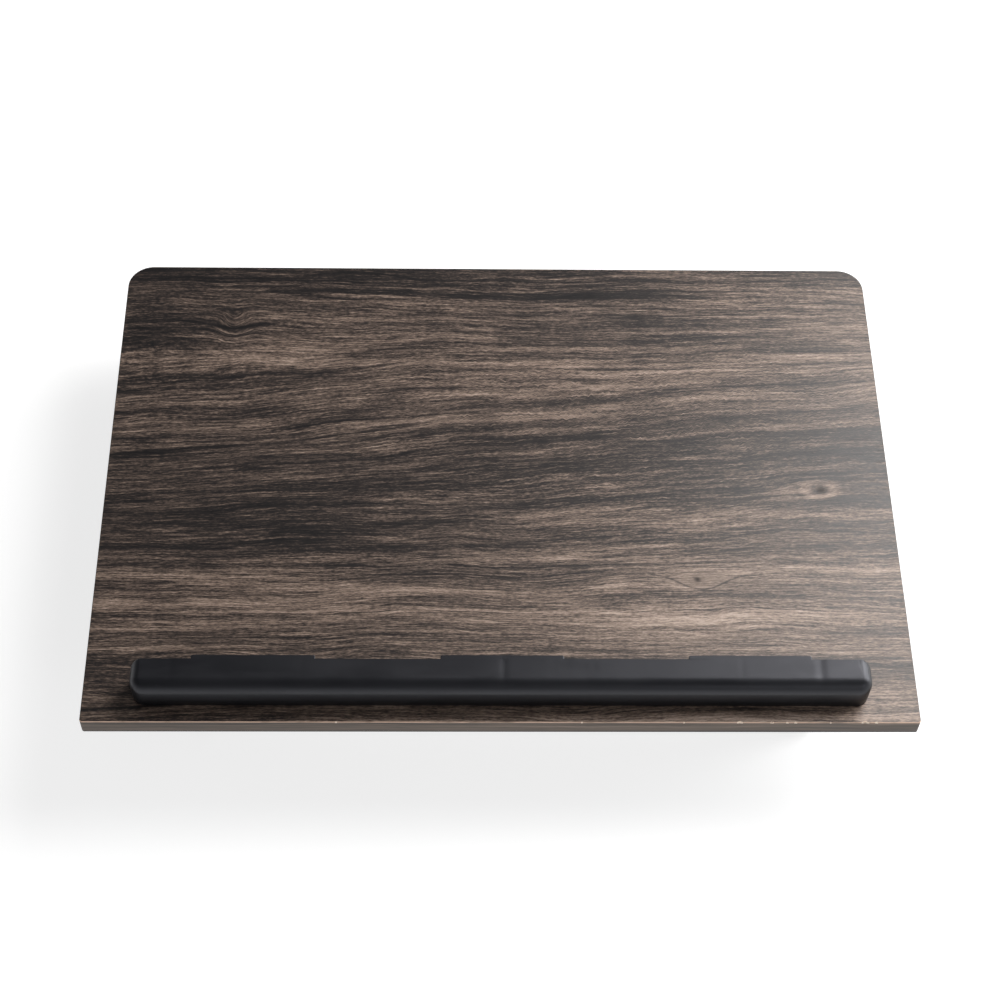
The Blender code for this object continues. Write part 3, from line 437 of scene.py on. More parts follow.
def chipboard_material():
    """Bare particle board: flat chips of mixed tints."""
    s = Shader("chipboard")
    chips = s.voronoi(s.scaled(s.coords, (320.0, 320.0, 620.0)), 1.0)
    tint = s.noise(s.coords, 260.0, 3.0)
    blend = s.add(s.mul(chips, 0.5), s.mul(tint, 0.5))
    colour = s.ramp(blend, ((0.2, (0.25, 0.155, 0.085)), (0.8, (0.52, 0.37, 0.22))))
    return s.finish(base_color=colour, roughness=0.9, normal=s.bump(chips, 0.0004, 0.7))


def soft_touch_material(name, base, gloss):
    """Black soft-touch moulding: fine leathery grain, faint dust specks and rub marks."""
    s = Shader(name)
    grain = s.noise(s.coords, 2600.0, 2.0, 0.6)
    rub = s.noise(s.scaled(s.coords, (18.0, 60.0, 60.0)), detail=4.0, roughness=0.6)
    specks = s.spread(s.voronoi(s.coords, 210.0), 0.055, 0.030)
    keep = s.spread(s.noise(s.coords, 60.0, 2.0), 0.56, 0.66)
    dust = s.mul(specks, keep)
    colour = s.mix(s.mul(dust, 0.35), base, (0.22, 0.22, 0.22))
    roughness = s.add(s.spread(rub, 0.3, 0.7, gloss, gloss + 0.10), s.mul(dust, 0.3))
    height = s.add(s.mul(grain, 0.5), s.mul(rub, 0.5))
    return s.finish(
        base_color=colour, roughness=roughness, normal=s.bump(height, 0.00008, 0.35),
        specular_ior_level=0.46, specular_tint=(0.90, 0.91, 1.0),
    )


def powder_coat_material():
    """Fine textured black powder coat, paler where hands and tools have rubbed it."""
    s = Shader("powder_coat")
    grit = s.voronoi(s.coords, 1500.0)
    orange = s.noise(s.coords, 700.0, 2.0)
    rub = s.noise(s.coords, 24.0, 5.0, 0.65)
    colour = s.ramp(rub, ((0.3, (0.0105, 0.0105, 0.0110)), (0.75, (0.0210, 0.0210, 0.0215))))
    roughness = s.add(s.spread(rub, 0.3, 0.8, 0.40, 0.52), s.mul(orange, 0.08))
    height = s.add(s.mul(grit, 0.6), s.mul(orange, 0.6))
    return s.finish(base_color=colour, roughness=roughness, normal=s.bump(height, 0.00010, 0.35))


def zinc_material():
    """Bright zinc plating with drawn lines along X and a faint yellow bloom."""
    s = Shader("zinc_plate")
    lines = s.noise(s.scaled(s.coords, (30.0, 900.0, 900.0)), detail=3.0, roughness=0.6)
    bloom = s.noise(s.coords, 45.0, 3.0)
    colour = s.ramp(bloom, ((0.3, (0.50, 0.51, 0.53)), (0.7, (0.62, 0.60, 0.55))))
    roughness = s.add(s.mul(lines, 0.18), s.spread(bloom, 0.3, 0.7, 0.16, 0.24))
    return s.finish(base_color=colour, metallic=1.0, roughness=roughness, normal=s.bump(lines, 0.00004, 0.4))


def spring_material():
    """Drawn spring wire, greyer where its oil has dried."""
    s = Shader("spring_wire")
    lines = s.noise(s.coords, 1400.0, 2.0)
    stain = s.noise(s.coords, 70.0, 3.0)
    colour = s.ramp(stain, ((0.3, (0.30, 0.30, 0.31)), (0.7, (0.46, 0.45, 0.44))))
    return s.finish(base_color=colour, metallic=1.0, roughness=s.spread(lines, 0.2, 0.8, 0.26, 0.40))


def nylon_material():
    """Natural nylon, scuffed along its way of sliding."""
    s = Shader("natural_nylon")
    cloud = s.noise(s.coords, 160.0, 3.0)
    scuff = s.noise(s.scaled(s.coords, (400.0, 30.0, 400.0)), detail=3.0)
    colour = s.ramp(cloud, ((0.3, (0.60, 0.59, 0.54)), (0.7, (0.74, 0.73, 0.69))))
    return s.finish(
        base_color=colour, roughness=s.spread(scuff, 0.3, 0.7, 0.36, 0.52),
        normal=s.bump(scuff, 0.00008, 0.3),
        subsurface_weight=0.15, subsurface_scale=0.002, subsurface_radius=(1.0, 0.92, 0.80),
    )


def floor_material():
    """Pale floor that glows a little, so that it stays near white away from the lights."""
    s = Shader("studio_floor")
    tint = s.noise(s.coords, 1.5, 2.0)
    return s.finish(
        base_color=s.ramp(tint, ((0.3, (0.41, 0.41, 0.41)), (0.7, (0.43, 0.43, 0.43)))), roughness=0.9,
        emission_color=(1.0, 1.0, 1.0), emission_strength=0.76,
    )


FINISHES = {
    # material_slot of the CAD record: material
    "walnut_laminate": walnut_material(),
    "walnut_edge_band": band_material(),
    "backing_laminate": backing_material(),
    "particle_board": chipboard_material(),
    "soft_touch_rubber": soft_touch_material("soft_touch_black", (0.0040, 0.0042, 0.0054), 0.37),
    "ledge_pad_rubber": soft_touch_material("grip_rubber", (0.0042, 0.0044, 0.0056), 0.38),
    "black_plastic": plastic_material(),
    "black_powder_coat": powder_coat_material(),
    "zinc_plated_steel": zinc_material(),
    "spring_steel": spring_material(),
    "nylon": nylon_material(),
    "foot_rubber": rubber_material(),
}


# ------------------------------------------------------------- mesh and pieces

SHARP_FROM = math.radians(40)
SOFTENED_FROM = math.radians(35)
LEDGE_SHARP_FROM = math.radians(60)
FLAT_WITHIN = math.radians(1.0)
WELD = 1e-6


def make_piece(name, bm, body, slot, smooth=True, replaces=()):
    """A visible piece from a mesh, with its slot's finish, riding on a body."""
    bmesh.ops.recalc_face_normals(bm, faces=bm.faces)
    mesh = bpy.data.meshes.new(name)
    bm.to_mesh(mesh)
    bm.free()
    if smooth:
        mesh.shade_smooth()
        mesh.set_sharp_from_angle(angle=SHARP_FROM)
    piece = bpy.data.objects.new(name, mesh)
    bpy.context.collection.objects.link(piece)
    mesh.materials.append(FINISHES[slot])
    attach(piece, body)
    if replaces:
        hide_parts(*replaces)
    return piece


def finish_node(node, bm, smooth=True):
    """Puts a new mesh in a CAD node's place, on its body and with its finish."""
    return make_piece(node + "_finished", bm, BODY_OF[node], SLOT_OF[node], smooth, replaces=(node,))


def soften(piece, width):
    """Rounds the sharp edges of a piece, with flat faces kept flat."""
    bevel = piece.modifiers.new("edges", "BEVEL")
    bevel.width = width
    bevel.segments = 3
    bevel.limit_method = "ANGLE"
    bevel.angle_limit = SOFTENED_FROM
    bevel.harden_normals = True
    bevel.use_clamp_overlap = True


def refine(node, width):
    """A finished piece for a CAD node: its own shape, welded, with rounded edges."""
    bm = bmesh.new()
    bm.from_mesh(NODES[node].data)
    bmesh.ops.remove_doubles(bm, verts=bm.verts, dist=WELD)
    bmesh.ops.dissolve_limit(bm, angle_limit=FLAT_WITHIN, verts=bm.verts, edges=bm.edges)
    piece = finish_node(node, bm, smooth=False)
    piece.data.shade_smooth()
    soften(piece, width)


def arc(centre_uv, radius, start, end, steps):
    points = []
    for i in range(steps + 1):
        angle = math.radians(start + (end - start) * i / steps)
        points.append((centre_uv[0] + radius * math.cos(angle), centre_uv[1] + radius * math.sin(angle)))
    return points


AXES = {
    "X": lambda u, v, w: Vector((w, u, v)),
    "Y": lambda u, v, w: Vector((u, w, v)),
    "Z": lambda u, v, w: Vector((u, v, w)),
}


def bridge(bm, loops):
    """Walls between successive closed loops of as many points."""
    for first, second in zip(loops, loops[1:]):
        for i in range(len(first)):
            bm.faces.new((first[i - 1], first[i], second[i], second[i - 1]))


def cap(bm, loops):
    bm.faces.new(loops[0])
    bm.faces.new(loops[-1])


def turned(axis, middle, profile, steps=48):
    """A turned solid about an axis. profile lists (place along the axis, radius)."""
    bm = bmesh.new()
    loops = []
    for place, radius in profile:
        ring = []
        for i in range(steps):
            angle = 2 * math.pi * i / steps
            ring.append(bm.verts.new(AXES[axis](
                middle[0] + radius * math.cos(angle), middle[1] + radius * math.sin(angle), place)))
        loops.append(ring)
    bridge(bm, loops)
    cap(bm, loops)
    return bm


def sweep(path, radius, steps):
    """A round wire along a list of points, with parallel-carried rings."""
    bm = bmesh.new()
    count = len(path)
    tangents = []
    for i in range(count):
        ahead = path[min(i + 1, count - 1)]
        behind = path[max(i - 1, 0)]
        tangents.append((ahead - behind).normalized())
    side = tangents[0].orthogonal().normalized()
    loops = []
    for point, tangent in zip(path, tangents):
        side = (side - tangent * side.dot(tangent)).normalized()
        other = tangent.cross(side)
        ring = []
        for i in range(steps):
            angle = 2 * math.pi * i / steps
            ring.append(bm.verts.new(point + (side * math.cos(angle) + other * math.sin(angle)) * radius))
        loops.append(ring)
    bridge(bm, loops)
    cap(bm, loops)
    return bm


# ----------------------------------------------------------------------- board

FRONT_CORNER = 2.0 * MM
REAR_CORNER = 20.0 * MM
LEAST_CORNER = 0.4 * MM
RING_STEP = 0.8 * MM                        # point spacing along the board's outline
WORN_ZONE = 1.2 * MM                        # how far the front edge's wear reaches back
UNWORN_ENDS = 3.0 * MM


def board_ring(inset, z):
    """The board's plan outline at one height: square front corners, round rear ones."""
    points = []
    half = BOARD_HIGH.x - inset
    depth = BOARD_HIGH.y - inset
    front = max(FRONT_CORNER - inset, LEAST_CORNER)
    rear = REAR_CORNER - inset
    corners = ((-1, -1, front, 180), (1, -1, front, 270), (1, 1, rear, 0), (-1, 1, rear, 90))
    for sx, sy, radius, start in corners:
        middle = (sx * (half - radius), sy * (depth - radius))
        points += [Vector((px, py, z)) for px, py in arc(middle, radius, start, start + 90, 14)]
    return points


def divide_ring(points, longest, guide=None):
    """Adds points along the long straight runs, as many as the guide ring needs."""
    guide = guide or points
    divided = []
    for i, point in enumerate(points):
        j = (i + 1) % len(points)
        pieces = max(1, round((guide[j] - guide[i]).length / longest))
        divided += [point.lerp(points[j], k / pieces) for k in range(pieces)]
    return divided


def ring_stack(rings, closed_loop):
    """A solid through stacked rings: a closed tube of them, or a stack with flat ends."""
    bm = bmesh.new()
    loops = [[bm.verts.new(point) for point in ring] for ring in rings]
    if closed_loop:
        bridge(bm, loops + loops[:1])
    else:
        bridge(bm, loops)
        cap(bm, loops)
    return bm


def chip_depth(x):
    """How far the front top edge is worn away, in metres, along X."""
    depth = 0.06 * MM * noise.noise(Vector((x * 420.0, 3.0, 0.0)))
    for place, size in CHIPS:
        off = (x - place) / (size * MM)
        depth += size * 0.42 * MM * math.exp(-off * off) * (1 + 0.5 * noise.noise(Vector((x * 2600.0, 0, 0))))
    return max(depth, 0.0)


def edge_band_piece():
    """Banding round all four edges, its corners eased and chipped along the front."""
    top = BOARD_HIGH.z - 0.03 * MM
    bottom = BOARD_LOW.z
    ease = 0.5 * MM
    wall = 1.25 * MM
    stack = [(wall, bottom), (ease, bottom), (ease * 0.3, bottom + ease * 0.3), (0.0, bottom + ease)]
    stack += [(0.0, bottom + 4 * MM), (0.0, top - 4 * MM), (0.0, top - 1.6 * MM)]
    stack += [(0.0, top - ease), (ease * 0.3, top - ease * 0.3), (ease, top), (wall, top)]
    rings = []
    for inset, z in stack:
        ring = []
        for point in divide_ring(board_ring(inset, z), RING_STEP, board_ring(0.0, z)):
            near_front = point.y < BOARD_LOW.y + WORN_ZONE
            if near_front and z > top - 1.0 * MM and abs(point.x) < BOARD_HIGH.x - UNWORN_ENDS:
                worn = chip_depth(point.x)
                reach = max(0.0, 1.0 - inset / (1.1 * MM))
                point.z -= worn * (0.35 + 0.65 * reach)
                point.y += worn * 0.45 * (1.0 if inset < ease else 0.0)
            ring.append(point)
        rings.append(ring)
    bm = ring_stack(rings, closed_loop=True)
    finish_node("edge_band", bm)


def top_sheet_piece():
    """The laminate sheet, from band to band."""
    low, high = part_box("top_laminate")
    rings = []
    for inset, z in ((0.70 * MM, low[2]), (0.50 * MM, high[2] - 0.03 * MM), (0.54 * MM, high[2])):
        ring = divide_ring(board_ring(inset, z), RING_STEP, board_ring(0.5 * MM, z))
        for point in ring:
            if point.y < BOARD_LOW.y + WORN_ZONE and abs(point.x) < BOARD_HIGH.x - UNWORN_ENDS:
                point.y += chip_depth(point.x)
        rings.append(ring)
    bm = ring_stack(rings, closed_loop=False)
    make_piece("top_sheet", bm, "board", "walnut_laminate", smooth=False, replaces=("top_laminate",))


# ----------------------------------------------------------------------- ledge

DENTS = (
    # x in metres, then depth and half width in millimetres
    (0.0010, 0.17, 2.1), (0.2270, 0.24, 2.8), (-0.2350, 0.10, 2.6), (0.0590, 0.04, 0.8),
    (0.0930, 0.03, 0.8), (0.1710, 0.06, 0.9), (-0.1420, 0.05, 1.2),
)
FILLET = 9.5 * MM
FILLET_STEPS = 30
LEDGE_STEP = 1.8 * MM                       # point spacing along the ledge
TOP_ROWS = 7
DENTED_SHARE = 0.8                          # how far down the fillet the sink marks reach
FRONT_END_RADIUS = 9.5 * MM
REAR_END_RADIUS = 4.2 * MM
STRAIGHT_FROM_END = 10.5 * MM


def ledge_relief(point, inward):
    """Sink marks and slow waves of the moulded skin, in metres, at a point of the top."""
    sink = 0.0
    for place, depth, width in DENTS:
        off = (point.x - place) / (width * MM)
        sink += depth * MM * math.exp(-off * off)
    sink *= 0.35 + 0.65 * inward
    sink += 0.12 * MM * noise.noise(Vector((point.x * 26.0, point.y * 60.0, 2.0)))
    sink += 0.025 * MM * noise.noise(Vector((point.x * 150.0, point.y * 150.0, 5.0)))
    return sink


def ledge_outline(inset, longest):
    """Plan outline as matched front and rear runs with round ends between them."""
    half = LEDGE_HIGH.x - inset * 0.8
    front = LEDGE_LOW.y + inset
    rear = LEDGE_HIGH.y - min(inset, 0.12 * MM)
    radius_front = max(FRONT_END_RADIUS - inset, 0.8 * MM)
    radius_rear = REAR_END_RADIUS - inset * 0.35
    count = round(2 * LEDGE_HIGH.x / longest)
    reach = LEDGE_HIGH.x - STRAIGHT_FROM_END
    xs = [-reach + 2 * reach * i / count for i in range(count + 1)]
    front_run = [(x, front) for x in xs]
    rear_run = [(x, rear) for x in reversed(xs)]
    right = arc((half - radius_front, front + radius_front), radius_front, 270, 360, 9)
    right += arc((half - radius_rear, rear - radius_rear), radius_rear, 0, 90, 7)
    left = arc((-half + radius_rear, rear - radius_rear), radius_rear, 90, 180, 7)
    left += arc((-half + radius_front, front + radius_front), radius_front, 180, 270, 9)
    return front_run, right, rear_run, left


def ledge_piece():
    """The ledge's skin: drafted walls, a full front fillet and a crisp rear edge."""
    bottom = LEDGE_LOW.z
    top = LEDGE_HIGH.z - 0.06 * MM
    levels = [(0.9 * MM, bottom), (0.5 * MM, bottom + 0.5 * MM), (0.2 * MM, bottom + 9 * MM)]
    for i in range(FILLET_STEPS + 1):
        angle = math.pi / 2 * i / FILLET_STEPS
        levels.append((FILLET * (1 - math.cos(angle)), top - FILLET * (1 - math.sin(angle))))
    bm = bmesh.new()
    loops = []
    for inset, z in levels:
        runs = ledge_outline(inset, LEDGE_STEP)
        inward = min(1.0, inset / FILLET)
        dented = max(0.0, (z - (top - FILLET * DENTED_SHARE)) / (FILLET * DENTED_SHARE))
        ring = []
        for x, y in runs[0] + runs[1] + runs[2] + runs[3]:
            point = Vector((x, y, z))
            point.z = min(point.z - ledge_relief(point, inward) * dented, LEDGE_HIGH.z)
            ring.append(bm.verts.new(point))
        loops.append(ring)
    bridge(bm, loops)
    bm.faces.new(loops[0])
    add_ledge_top(bm, loops[-1], runs, top)
    piece = make_piece("ledge_skin", bm, "board", "soft_touch_rubber", replaces=("ledge_cover",))
    piece.data.set_sharp_from_angle(angle=LEDGE_SHARP_FROM)


def add_ledge_top(bm, ring, runs, top):
    """Fills the flat top with a grid, so that its sink marks have real shape."""
    count = len(runs[0])
    right = len(runs[1])
    front = ring[:count]
    rear = ring[count + right:count + right + count][::-1]
    columns = []
    for near, far in zip(front, rear):
        column = [near]
        for k in range(1, TOP_ROWS):
            flat = near.co.lerp(far.co, k / TOP_ROWS)
            point = Vector((flat.x, flat.y, top))
            point.z = min(top - ledge_relief(point, 1.0), LEDGE_HIGH.z)
            column.append(bm.verts.new(point))
        column.append(far)
        columns.append(column)
    for first, second in zip(columns, columns[1:]):
        for k in range(TOP_ROWS):
            bm.faces.new((first[k], second[k], second[k + 1], first[k + 1]))
    bm.faces.new(columns[-1] + ring[count:count + right][::-1])
    bm.faces.new(columns[0][::-1] + ring[count + right + count:][::-1])


def pad_piece(node):
    """A grip pad on the rear face: rounded ends, its top level with the ledge."""
    low, high = box_of(node)
    corner = 1.4 * MM
    near = low.y - 0.6 * MM
    outline = [(low.x, near), (high.x, near)]
    outline += arc((high.x - corner, high.y - corner), corner, 0, 90, 6)
    outline += arc((low.x + corner, high.y - corner), corner, 90, 180, 6)
    rings = []
    ease = 0.35 * MM
    top = LEDGE_HIGH.z - 0.07 * MM
    levels = [(ease, low.z), (0.0, low.z + ease), (0.0, top - ease), (ease * 0.3, top - ease * 0.3)]
    levels += [(ease, top), (ease * 2, top)]
    for inset, z in levels:
        ring = []
        for px, py in outline:
            toward = Vector(((low.x + high.x) / 2 - px, 0, 0)).normalized() * inset
            ring.append(Vector((px + toward.x, py - (inset if py > near + 0.1 * MM else 0.0), z)))
        rings.append(ring)
    rings = [divide_ring(ring, 2 * MM, rings[0]) for ring in rings]
    bm = ring_stack(rings, closed_loop=False)
    for vert in bm.verts:
        if vert.co.y > near + 0.1 * MM:
            vert.co.y = min(vert.co.y + 0.20 * MM * noise.noise(Vector((vert.co.x * 90.0, 1.0, 0.0))), high.y)
        if vert.co.z > top - 1.0 * MM:
            edge = Vector((vert.co.x, LEDGE_HIGH.y, top))
            vert.co.z = min(vert.co.z - ledge_relief(edge, 1.0), LEDGE_HIGH.z)
    finish_node(node, bm)


# ------------------------------------------------------------------- mechanism

# Faces across the lift, as distances from the middle plane
INNER_ARM = (197.7 * MM, 202.3 * MM)
OUTER_ARM = (207.7 * MM, 212.3 * MM)
SHOE_FACE = 223.7 * MM
RAIL_FACE = 237.7 * MM
SPACER_RADIUS = 7.0 * MM
CLIP_RADIUS = 7.4 * MM
CLIP_HALF = 0.4 * MM
HINGE_X = 150 * MM
RIVET_X = 228 * MM
LEAF_THICKNESS = 1.8 * MM
# Screw heads, as radius and height
BAR_SCREW = (4.0 * MM, 1.2 * MM)
SMALL_BAR_SCREW = (2.4 * MM, 1.2 * MM)
LEAF_SCREW = (2.8 * MM, 0.9 * MM)
STAY_SCREW = (2.2 * MM, 0.8 * MM)
RIVET = (2.6 * MM, 0.9 * MM)
# Lift springs
WIRE = 0.8 * MM
COILS = 84
POINTS_PER_COIL = 14
HOOK_RADIUS = 6.1 * MM
HOOK_POINTS = 32
# Points round a turned piece, for large and small ones
ROUND = 64
SMALL_ROUND = 32


def rod_profile(low, high, radius, chamfer=0.6 * MM, grooves=()):
    """Profile of a rod with eased ends and square grooves cut at the given places."""
    profile = [(low, radius - chamfer), (low + chamfer, radius)]
    for middle, width, depth in sorted(grooves):
        profile += [(middle - width / 2, radius), (middle - width / 2, radius - depth)]
        profile += [(middle + width / 2, radius - depth), (middle + width / 2, radius)]
    return profile + [(high - chamfer, radius), (high, radius - chamfer)]


def add_shafts():
    """The four cross shafts with circlips and nylon spacers, all turned."""
    shafts = (
        ("rear_pivot_shaft", OUTER_ARM[1], RAIL_FACE, True),
        ("top_pivot_shaft", INNER_ARM[1], RAIL_FACE, True),
        ("lower_slide_shaft", INNER_ARM[1], SHOE_FACE, False),
        ("upper_slide_shaft", OUTER_ARM[1], SHOE_FACE, False),
    )
    for node, spacer_low, spacer_high, clipped in shafts:
        low, high = box_of(node)
        place = centre(node).yz
        clip = high.x - 1.7 * MM
        grooves = ((-clip, 1.0 * MM, 0.6 * MM), (clip, 1.0 * MM, 0.6 * MM)) if clipped else ()
        profile = rod_profile(low.x, high.x, (high.z - low.z) / 2, grooves=grooves)
        finish_node(node, turned("X", place, profile, ROUND))
        body = BODY_OF[node]
        for side, sign in SIDES:
            span = sorted((sign * spacer_low, sign * spacer_high))
            spacer = turned("X", place, rod_profile(*span, SPACER_RADIUS, 0.4 * MM))
            make_piece("%s_spacer_%s" % (node, side), spacer, body, "nylon")
            if clipped:
                middle = sign * clip
                ring = rod_profile(middle - CLIP_HALF, middle + CLIP_HALF, CLIP_RADIUS, 0.15 * MM)
                make_piece("%s_circlip_%s" % (node, side), turned("X", place, ring), body, "spring_steel")


def add_turned_parts():
    """Feet, bumpers, cross tube, stay bar, push rod and bolts, with full round detail."""
    for number in range(1, 5):
        add_foot("foot_%d" % number)
    dome = 3.4 * MM
    for side, _ in SIDES:
        node = "board_bumper_" + side
        low, high = box_of(node)
        r = (high.x - low.x) / 2
        profile = [(low.z, r - 0.3 * MM), (low.z + 0.3 * MM, r), (low.z + 2.4 * MM, r)]
        profile += arc((high.z - dome, r - dome), dome, 90, 0, 8)
        finish_node(node, turned("Z", centre(node).xy, profile, ROUND))
    for node in ("inner_cross_tube", "stay_foot_bar"):
        low, high = box_of(node)
        profile = rod_profile(low.x, high.x, (high.z - low.z) / 2)
        finish_node(node, turned("X", centre(node).yz, profile, ROUND))
    add_push_rod()
    for side, sign in SIDES:
        add_centre_bolt("centre_bolt_" + side, sign)
    for number in (1, 2, 3):
        add_ledge_screw("ledge_screw_%d" % number)


def add_foot(node):
    """Rubber foot with a recess for its screw."""
    low, high = box_of(node)
    r = (high.x - low.x) / 2
    place = centre(node).xy
    profile = [(1.6 * MM, 3.4 * MM), (0.0, 3.8 * MM), (0.0, r - 1.5 * MM), (0.2 * MM, r - 0.8 * MM)]
    profile += [(0.8 * MM, r - 0.2 * MM), (1.5 * MM, r), (high.z - 0.4 * MM, r), (high.z, r - 0.4 * MM)]
    finish_node(node, turned("Z", place, profile, ROUND))
    profile = [(2.2 * MM, 1.4 * MM), (0.9 * MM, 1.5 * MM), (0.8 * MM, 2.6 * MM), (1.6 * MM, 3.2 * MM)]
    make_piece(node + "_screw", turned("Z", place, profile, SMALL_ROUND), "base", "zinc_plated_steel")


def add_push_rod():
    """The push rod: threaded near the lever, with a button where it meets the lock plate."""
    low, high = box_of("release_link")
    middle = centre("release_link")
    button = (high.z - low.z) / 2
    wire = 1.5 * MM
    profile = [(low.y, wire - 0.3 * MM), (low.y + 0.3 * MM, wire)]
    for turn in range(14):
        start = low.y + (6 + turn * 0.8) * MM
        profile += [(start, wire), (start + 0.4 * MM, wire - 0.25 * MM)]
    profile += [(low.y + 18 * MM, wire), (high.y - 3.0 * MM, wire), (high.y - 3.0 * MM, button - 0.3 * MM)]
    profile += [(high.y - 2.7 * MM, button), (high.y - 0.9 * MM, button), (high.y, button - 0.9 * MM)]
    finish_node("release_link", turned("Y", (middle.x, middle.z), profile, 40))


def add_centre_bolt(node, sign):
    """Shouldered bolt of the scissor: domed head, collar between the arms, nut."""
    head = 7.2 * MM
    shank = 4.0 * MM
    inside, outside = INNER_ARM[0], OUTER_ARM[1]
    profile = [(inside - 2.3 * MM, 2.4 * MM), (inside - 3.5 * MM, 3.4 * MM), (inside - 3.5 * MM, 6.6 * MM)]
    profile += [(inside - 2.9 * MM, head), (inside, head), (inside, shank)]
    profile += [(INNER_ARM[1], shank), (INNER_ARM[1], head), (OUTER_ARM[0], head), (OUTER_ARM[0], shank)]
    profile += [(outside, shank), (outside, head), (outside + 1.0 * MM, head), (outside + 2.0 * MM, 6.6 * MM)]
    profile += [(outside + 2.6 * MM, 5.4 * MM), (outside + 2.8 * MM, shank), (outside + 2.8 * MM, 2.4 * MM)]
    profile += [(outside + 1.3 * MM, 2.2 * MM)]
    profile = [(sign * place, radius) for place, radius in profile]
    finish_node(node, turned("X", centre(node).yz, profile))


def add_ledge_screw(node):
    """Countersunk screw with a driver recess, its shank threaded."""
    low, high = box_of(node)
    head = (high.x - low.x) / 2
    shank = 2.0 * MM
    neck = low.z + 0.4 * MM
    profile = [(low.z + 1.5 * MM, 1.2 * MM), (low.z, 1.6 * MM), (low.z, head - 0.2 * MM), (neck, head)]
    profile += [(neck + head - shank, shank)]
    turn = low.z + 6 * MM
    while turn < high.z - 1.5 * MM:
        profile += [(turn, shank), (turn + 0.5 * MM, shank - 0.5 * MM)]
        turn += 1.0 * MM
    profile += [(high.z, shank - 0.8 * MM)]
    finish_node(node, turned("Z", centre(node).xy, profile, SMALL_ROUND))


def add_rail_caps():
    """Thin plastic caps on the open ends of the four rails."""
    for level, body, thick in (("base", "base", 1.0 * MM), ("upper", "top_frame", 0.55 * MM)):
        for side, _ in SIDES:
            low, high = box_of("%s_rail_%s" % (level, side))
            middle = (low + high) / 2
            half_x = (high.x - low.x) / 2
            half_z = (high.z - low.z) / 2
            corner = 2.2 * MM
            for end, face, outward in (("front", low.y, -1), ("rear", high.y, 1)):
                rings = []
                for out, inset in ((0.0, 0.0), (0.6, 0.0), (0.9, 0.08), (1.0, 0.22)):
                    ring = []
                    spots = ((1, 1, 0), (-1, 1, 90), (-1, -1, 180), (1, -1, 270))
                    for sx, sz, start in spots:
                        nook = (middle.x + sx * (half_x - corner), middle.z + sz * (half_z - corner))
                        ring += [Vector((px, face + outward * thick * out, pz))
                                 for px, pz in arc(nook, corner - inset * MM, start, start + 90, 8)]
                    rings.append(ring)
                name = "%s_rail_cap_%s_%s" % (level, side, end)
                make_piece(name, ring_stack(rings, closed_loop=False), body, "black_plastic")


def add_springs():
    """Extension springs: loose coils, each with a wire loop round the lower slide shaft."""
    shaft = centre("lower_slide_shaft")
    for side, _ in SIDES:
        node = "lift_spring_" + side
        low, high = box_of(node)
        middle = centre(node)
        coil = (high.x - low.x) / 2 - WIRE
        start = low.y + 9 * MM
        finish = high.y - 5 * MM
        path = [Vector((middle.x, low.y + WIRE, middle.z)), Vector((middle.x, start - 4 * MM, middle.z))]
        count = COILS * POINTS_PER_COIL
        for i in range(count + 1):
            angle = 2 * math.pi * COILS * i / count
            reach = coil * min(1.0, i / 12, (count - i) / 12)
            path.append(Vector((
                middle.x + reach * math.cos(angle), start + (finish - start) * i / count,
                middle.z + reach * math.sin(angle))))
        path += [Vector((middle.x, finish + 2 * MM, middle.z)), Vector((middle.x, high.y - WIRE, middle.z))]
        coils = sweep(path, WIRE, 8)
        spring = make_piece(node + "_coils", coils, "base", "spring_steel", replaces=(node,))
        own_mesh(spring)
        hook = [Vector((middle.x, *spot)) for spot in arc(shaft.yz, HOOK_RADIUS, 20, 340, HOOK_POINTS)]
        make_piece("spring_loop_" + side, sweep(hook, WIRE, 10), "lower_carriage", "spring_steel")


SCREW_DOME = (
    # share of the head's height, share of its radius, out to the rim and down the socket
    (0.0, 1.0), (0.35, 1.0), (0.75, 0.86), (1.0, 0.55), (1.0, 0.42), (0.45, 0.40),
)


def screw_head(axis, place, outward, head, name, body):
    """A low domed head with a socket, standing on a face and pointing outward."""
    radius, height = head
    index = "XYZ".index(axis)
    base = place[index]
    others = [place[i] for i in range(3) if i != index]
    profile = [(base + outward * height * rise, radius * share) for rise, share in SCREW_DOME]
    make_piece(name, turned(axis, others, profile, SMALL_ROUND), body, "zinc_plated_steel")


